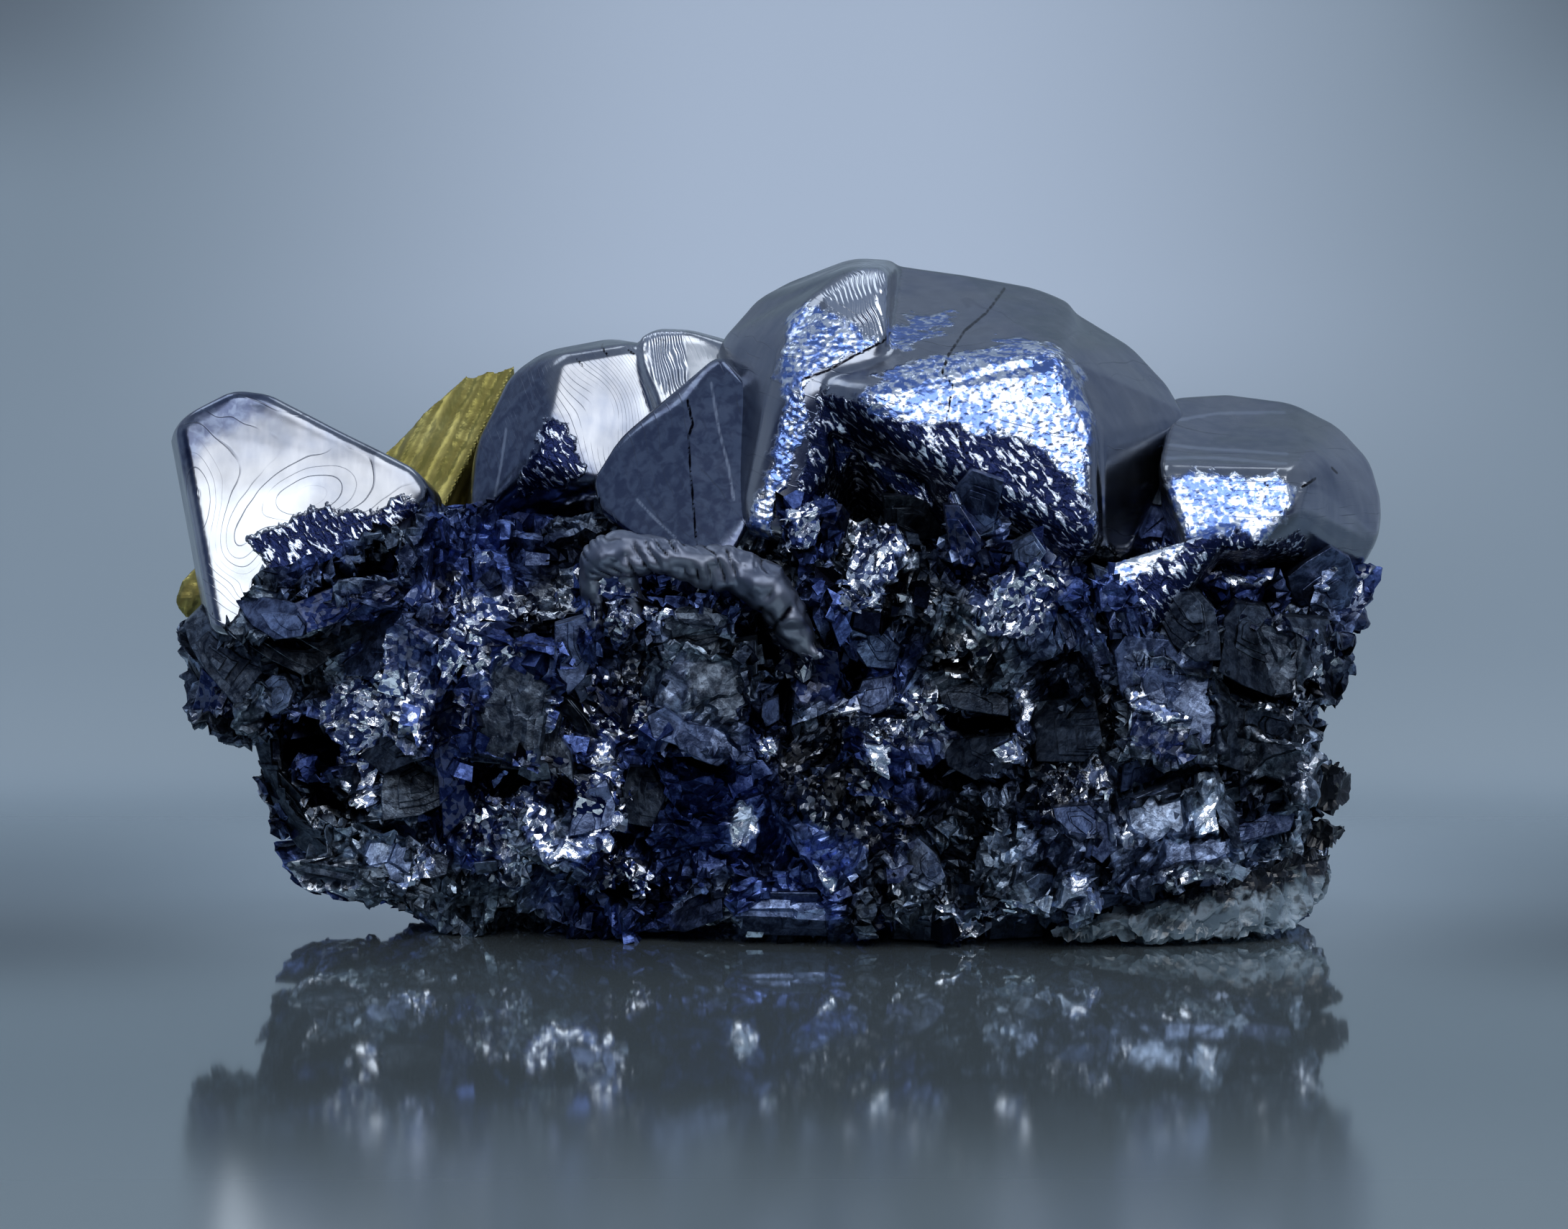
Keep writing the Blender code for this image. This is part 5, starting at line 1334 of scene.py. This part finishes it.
def crystal_material(name, dullness):
    """Etched galena: lead grey, with growth lines, folds and hairlines, pitted where it is etched; with
    painted highlights, glints and shade.
    """
    made, shader, where = fresh_material(name)
    ragged = times_plus(grainy(where, 1100, 3), 1.5, -0.75)
    wandering = times_plus(grainy(where, 330, 3), 2.6, -1.3)
    etched_with_glints = ramp(plus(painted(where, "etched_with_glints"), plus(ragged, wandering)), -0.15, 0.3)
    lit = ramp(plus(painted(where, "lit"), wandering), -1.0, 1.6)
    worn_light_and_shade = ramp(plus(painted(where, "worn_light_and_shade"), times(ragged, 1.4)), -0.1, 0.3)
    folded_sheen = ramp(painted(where, "folded_sheen"), -0.15, 0.3)
    shaded = ramp(times_plus(ragged, 0.8, painted(where, "shaded")), -0.6, 1.0)
    crack_and_groove_shade = ramp(times_plus(ragged, 0.08, painted(where, "crack_and_groove_shade")), 0.05, 0.13, 1, 0)
    welt_highlight = ramp(times_plus(ragged, 0.10, painted(where, "welt_highlight")), 0.03, 0.16, 1, 0)

    growth = painted(where, "growth")
    number = node("ShaderNodeTexWhiteNoise", {"W": maths("FLOOR", growth)}, noise_dimensions="1D")
    line = ramp(maths("ABSOLUTE", minus(maths("FRACT", growth), 0.5)), 0.01, 0.055, 1, 0)
    line = times(line, ramp(number.outputs["Value"], 0.2, 0.9, 0.2, 1))
    line = times(line, ramp(grainy(where, 260, 2), 0.36, 0.55))

    sockets = {"Vector": where, "Scale": 2600.0, "Randomness": 1.0}
    pits = node("ShaderNodeTexVoronoi", sockets, feature="SMOOTH_F1").outputs["Distance"]
    pits = plus(pits, grainy(where, 1500, 3, 0.5))
    slanted = mapped(where, "TEXTURE", Rotation=(0.0, math.radians(-38), 0.0), Scale=(1.0, 1.0, 2.4))
    torn = grainy(slanted, 2500, 4, 0.5)
    waves = maths("SINE", times(painted(where, "crease"), 2 * math.pi))
    relief = relief_of(
        (grainy(where, 190, 3), 0.00006), (line, 0.00001), (times(waves, folded_sheen), 0.00004),
        (times(pits, etched_with_glints), 0.00008), (times(torn, worn_light_and_shade), 0.00022),
    )

    tone = ramp(grainy(where, 130, 5, 0.4), 0.3, 0.7)
    brushed = grainy(mapped(where, Scale=(1.0, 1.0, 0.2)), 1000, 4)
    mottle = ramp(grainy(where, 1300, 4, 0.5), 0.38, 0.62)
    patchy = times_plus(grainy(where, 260, 3), 0.5, grainy(where, 1900, 3, 0.3))
    # Painted glints: pale speckle, densest where the skin carries painted highlights
    painted_glint_speckle = ramp(times_plus(lit, 0.12, patchy), 0.68, 0.86)
    colour = layered(
        blend(tone, (0.21, 0.235, 0.29), (0.31, 0.32, 0.335)),
        (ramp(brushed, 0.35, 0.75, 0, 0.45), (0.38, 0.39, 0.41)),
        (dullness, (0.075, 0.105, 0.19)),
        # Painted shade
        (times(shaded, 0.85), blend(mottle, (0.055, 0.072, 0.135), (0.12, 0.15, 0.225))),
        # Painted highlight
        (times(lit, 0.8), (0.50, 0.53, 0.56)),
        # Painted highlight on the folds
        (times(folded_sheen, 0.75), (0.60, 0.63, 0.69)),
        # Painted glints and painted blue reflection in the etched patches
        (etched_with_glints, blend(painted_glint_speckle, (0.17, 0.27, 0.62), (0.78, 0.84, 0.92))),
        # Painted shade and painted glints in the dark and bright streaks
        (worn_light_and_shade, blend(ramp(torn, 0.54, 0.61), (0.012, 0.018, 0.06), (0.75, 0.82, 0.95))),
        (times(line, 0.6), (0.10, 0.11, 0.14)),
        # Painted highlight along the welts
        (times(welt_highlight, 0.45), (0.62, 0.66, 0.74)),
        # Dark hairline cracks on the crystals, and painted shade in the ridge's grooves
        (crack_and_groove_shade, (0.003, 0.003, 0.006)),
    )
    smooth = ramp(grainy(where, 340, 3), 0.3, 0.75, 0.16, 0.28)
    rough = plus(plus(times(plus(etched_with_glints, worn_light_and_shade), 0.07), smooth), dullness * 0.5)
    feed(shader, {"Base Color": colour, "Roughness": rough, "Normal": relief, "Metallic": 1.0})
    return made


def tilted_cells(where, scale, lean):
    """A push on the normal that differs from one small cell to the next, and a number for each cell."""
    cell = node("ShaderNodeTexVoronoi", {"Vector": where, "Scale": scale}, feature="F1").outputs["Color"]
    away = vectors("SUBTRACT", {0: cell, 1: (0.5, 0.5, 0.5)})
    spread = node("ShaderNodeSeparateColor", {"Color": cell}).outputs["Green"]
    return vectors("SCALE", {0: away, "Scale": lean}), spread


def broken_material():
    """Freshly broken galena: cleavage facets, some with painted glints, among dull and bluish tarnished ones;
    painted shade in crevices.
    """
    made, shader, where = fresh_material("broken_galena")
    light, blueness, glitter, gap, even = (painted(where, name) for name in ROCK_TONES)
    lean = plus(times(glitter, 0.38), ramp(even, 0.3, 1.0, 0.14, 0.06))
    coarse, pick_coarse = tilted_cells(where, 900.0, lean)
    small, pick_small = tilted_cells(where, 2300.0, lean)
    facing = where.id_data.nodes.new("ShaderNodeNewGeometry").outputs["Normal"]
    ahead = times(ramp(parts_of(facing)["Y"], -0.5, 0, 1, 0), ramp(glitter, 0.2, 1.0))
    raised = {"X": times(glitter, 0.10), "Y": times(ahead, -0.9), "Z": times(glitter, 0.30)}
    for offset in (coarse, small, node("ShaderNodeCombineXYZ", raised).outputs[0]):
        facing = vectors("ADD", {0: facing, 1: offset})
    facing = vectors("NORMALIZE", {0: facing})

    mottle = ramp(grainy(where, 1000, 6, 0.6, 0.75), 0.38, 0.62)
    grit = grainy(where, 1900, 4, 0.2, 0.65)
    full = blend(blueness, (0.42, 0.52, 0.64), (0.18, 0.27, 0.66))
    dim = blend(blueness, (0.009, 0.013, 0.022), (0.005, 0.010, 0.055))
    spread = times(minus(pick_small, 0.5), ramp(even, 0.3, 1.0, 0.8, 0.25))
    level = times(times(light, plus(spread, 1.0)), times_plus(mottle, 0.7, 0.55))
    # Painted glints: small cells painted near white where the rock glitters
    shining = times(ramp(pick_small, 0.48, 0.52), ramp(glitter, 0.0, 0.7))
    # Painted glints, and near black painted shade in crevices
    colour = layered(
        blend(ramp(level, 0.05, 1.1), dim, full), (shining, (0.90, 0.94, 1.0)), (gap, (0.002, 0.002, 0.004)),
    )
    rough = minus(ramp(pick_coarse, 0, 1, 0.50, 0.34), times(shining, 0.25))
    bump = node("ShaderNodeBump", {"Height": grit, "Distance": 0.00007, "Normal": facing}).outputs["Normal"]
    feed(shader, {"Base Color": colour, "Roughness": rough, "Normal": bump, "Metallic": 1.0})
    return made


def chalcopyrite_material():
    """Chalcopyrite: olive brass, with fine striations and duller streaks along them."""
    made, shader, where = fresh_material("chalcopyrite")
    lean = mapped(where, Rotation=(0.0, math.radians(-25), 0.0))
    sockets = {"Vector": lean, "Scale": 430.0, "Distortion": 0.8, "Detail": 2.0, "Detail Scale": 2.0}
    waves = node("ShaderNodeTexWave", sockets, wave_type="BANDS", bands_direction="X").outputs["Fac"]
    colour = layered(
        blend(ramp(grainy(where, 260, 4), 0.35, 0.7), (0.32, 0.265, 0.065), (0.42, 0.36, 0.115)),
        (times(waves, 0.4), (0.22, 0.18, 0.055)),
    )
    relief = relief_of((waves, 0.00002), (grainy(where, 1500, 3), 0.00003))
    rough = ramp(waves, 0, 1, 0.34, 0.5)
    feed(shader, {"Base Color": colour, "Roughness": rough, "Normal": relief, "Metallic": 1.0})
    return made


def quartz_material():
    """Milky quartz: cloudy, with clearer streaks and glassy broken faces, dark along its top."""
    made, shader, where = fresh_material("quartz")
    cloud = ramp(grainy(where, 300, 5, 0.8), 0.38, 0.62)
    fleck = ramp(grainy(where, 700, 4, 0.5), 0.50, 0.62)
    top = times_plus(parts_of(where)["X"], -0.10, parts_of(where)["Z"])
    top = times_plus(grainy(where, 420, 4, 0.6), 0.0050, top)
    colour = layered(
        blend(cloud, (0.28, 0.38, 0.45), (0.72, 0.87, 0.98)), (times(fleck, 0.75), (0.06, 0.07, 0.075)),
        (ramp(top, 0.0024, 0.0030), (0.02, 0.025, 0.035)),
    )
    rough = ramp(cloud, 0, 1, 0.12, 0.36)
    relief = relief_of((grainy(where, 520, 4, 1.0), 0.00012))
    glassy = {"Transmission Weight": 0.45, "IOR": 1.54}
    feed(shader, {"Base Color": colour, "Roughness": rough, "Normal": relief, **glassy})
    return made


def stage_material():
    """The pale, glossy table top, duller where it sweeps up; a painted pool of light right behind the
    specimen, painted shade in the upper corners.
    """
    made, shader, where = fresh_material("table_top")
    across, depth, height = (parts_of(where)[name] for name in "XYZ")
    aside = maths("ABSOLUTE", minus(across, 0.008))
    # Painted pool of light on the backdrop right behind the specimen
    middle = times(ramp(aside, 0.01, 0.12, 1, 0), ramp(height, 0.0, 0.04))
    # Painted shade in the backdrop's upper corners
    corner = times(ramp(aside, 0.08, 0.136), ramp(height, 0.05, 0.088))
    wall = layered(
        blend(middle, (0.42, 0.485, 0.505), (0.84, 0.90, 0.95)), (times(corner, 0.8), (0.185, 0.21, 0.225)),
        (ramp(height, 0.086, 0.105), (0.47, 0.54, 0.555)),
    )
    close = ramp(depth, -0.135, -0.08, 1, 0)
    table = blend(ramp(depth, -0.03, 0.02), (0.29, 0.35, 0.365), (0.47, 0.555, 0.59))
    table = blend(close, table, (0.245, 0.295, 0.305))
    colour = blend(ramp(depth, *SWEEP), table, wall)
    colour = blend(ramp(aside, 0.17, 0.35), colour, (0.70, 0.76, 0.84))
    rough = times_plus(close, 0.10, ramp(depth, *SWEEP, 0.05, 0.85))
    mirror = times_plus(close, -0.46, ramp(depth, *SWEEP, 0.66, 0.0))
    feed(shader, {"Base Color": colour, "Roughness": rough, "Metallic": mirror, "IOR": 1.45})
    return made


def finish_piece(obj, material, replaced):
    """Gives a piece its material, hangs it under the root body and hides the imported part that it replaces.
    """
    obj.data.materials.clear()
    obj.data.materials.append(material)
    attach(obj, "root")
    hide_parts(replaced)


def roughened(obj, split, amount, wavelength, faceted=False):
    """Splits a solid finer and knocks its surface about, into broken facets for quartz."""
    bevel(obj, 0.25, 2)
    remesh(obj, split)
    spots, ways = vertices_of(obj), normals_of(obj)
    shift = amount * MM * (noise_at(spots, wavelength * MM) + 0.5 * noise_at(spots, wavelength * 0.4 * MM, 5))
    if faceted:
        shift += sum(facet_push(spots, ways, size, most, 0, salt)[0] for size, most, salt in QUARTZ_FACETS)
    place_vertices(obj, keep_in_box(spots + ways * shift[:, None]))


def grow_into_tablet(grain):
    """Carries the hidden side of the small grain into the left tablet, that it grows out of."""
    spots = vertices_of(grain)
    for axis, reach in CARRIED:
        spots[:, axis] += reach * MM * smooth_step(spots[:, 0] / MM, *CARRIED_FROM_TO)
    place_vertices(grain, spots)


def add_stage():
    """A table top that sweeps up behind into a backdrop."""
    deselect()
    bpy.ops.mesh.primitive_plane_add(size=1)
    floor = bpy.context.object
    floor.name = "stage"
    edit(floor)
    bpy.ops.transform.resize(value=TABLE_SIZE, orient_type="GLOBAL")
    bpy.ops.transform.translate(value=(0, TABLE_Y, 0))
    bpy.ops.mesh.select_mode(type="VERT")
    bpy.ops.mesh.select_all(action="DESELECT")
    leave()
    for vert in floor.data.vertices:
        vert.select = vert.co.y > TABLE_Y
    bpy.ops.object.mode_set(mode="EDIT")
    for step in range(SWEEP_STEPS):
        angle = math.radians(90) * (step + 0.5) / SWEEP_STEPS
        move = (0, SWEEP_STEP * math.cos(angle), SWEEP_STEP * math.sin(angle))
        bpy.ops.mesh.extrude_region_move(TRANSFORM_OT_translate={"value": move})
    leave()
    shade_smooth(floor)
    floor.data.materials.append(stage_material())


def aim(obj, azimuth, elevation, distance, target):
    """Puts something at a distance from a target, facing it. Azimuth 0 is in front, positive right."""
    a, e = math.radians(azimuth), math.radians(elevation)
    way = Vector((math.sin(a) * math.cos(e), -math.cos(a) * math.cos(e), math.sin(e)))
    obj.location = way * distance + target
    obj.rotation_euler = way.to_track_quat("Z", "Y").to_euler()


def add_light(name, azimuth, elevation, distance, width, height, power, colour):
    """A soft box that faces the specimen."""
    lamp = bpy.data.lights.new(name, "AREA")
    lamp.shape = "RECTANGLE"
    lamp.size, lamp.size_y = width, height
    lamp.energy = power
    lamp.color = colour
    obj = linked(name, lamp)
    aim(obj, azimuth, elevation, distance, LIGHT_TARGET)
    obj.visible_camera = False


def add_world():
    """Deep blue surroundings low in front, steel blue at the sides, behind and above."""
    world = bpy.data.worlds.new("surroundings")
    bpy.context.scene.world = world
    world.use_nodes = True
    nodes = world.node_tree.nodes
    way = parts_of(nodes.new("ShaderNodeTexCoord").outputs["Generated"])
    front = times(ramp(way["Y"], -0.75, -0.25, 1, 0), ramp(way["Z"], 0.35, 0.65, 1, 0))
    colour = blend(front, (0.24, 0.30, 0.42), (0.035, 0.055, 0.13))
    feed(nodes["Background"], {"Color": colour, "Strength": 1.0})


def add_camera():
    camera = bpy.data.cameras.new("camera")
    camera.lens = VIEW_LENS
    camera.sensor_width = 36
    camera.clip_start = 0.01
    obj = linked("camera", camera)
    aim(obj, 0, VIEW_ELEVATION, VIEW_DISTANCE, VIEW_TARGET)
    bpy.context.scene.camera = obj


GRAIN_CENTRES, GRAIN_TURNS = grain_plan()
CRYSTAL_PLANES = [
    ([hull_planes(corners) for _, corners in lobes], [hull_planes(corners) for corners in hollows])
    for lobes, hollows, _ in CRYSTALS.values()
]


def main():
    etched_with_glints, broken = crystal_material("etched_galena", 0.0), broken_material()
    dull = crystal_material("dull_galena", 0.5)
    crystals = [crystal(name) for name in CRYSTALS]
    core = broken_core()
    shapes = flake_shapes()
    rubble = [blocks(core)] + [flakes(name, core, shapes, *plan) for name, *plan in FLAKES]
    ridge = ridge_piece()
    for obj in crystals:
        finish_piece(obj, etched_with_glints, "galena")
    finish_piece(ridge, dull, "galena")
    for obj in [core] + rubble:
        finish_piece(obj, broken, "galena")

    brass = chalcopyrite_material()
    for name in ("chalcopyrite_wedge", "chalcopyrite_small"):
        obj = copy_of_node(name, name + "_crystal")
        roughened(obj, *BRASS_SURFACE)
        if name == "chalcopyrite_small":
            grow_into_tablet(obj)
        finish_piece(obj, brass, name)
    milky = quartz_material()
    for name in ("quartz_seam", "quartz_knob_upper", "quartz_knob_lower"):
        obj = copy_of_node(name, name + "_grain")
        roughened(obj, *QUARTZ_SURFACE, faceted=True)
        finish_piece(obj, milky, name)

    add_stage()
    for light in LIGHTS:
        add_light(*light)
    add_world()
    add_camera()
    bpy.context.scene.view_settings.view_transform = "Standard"


main()
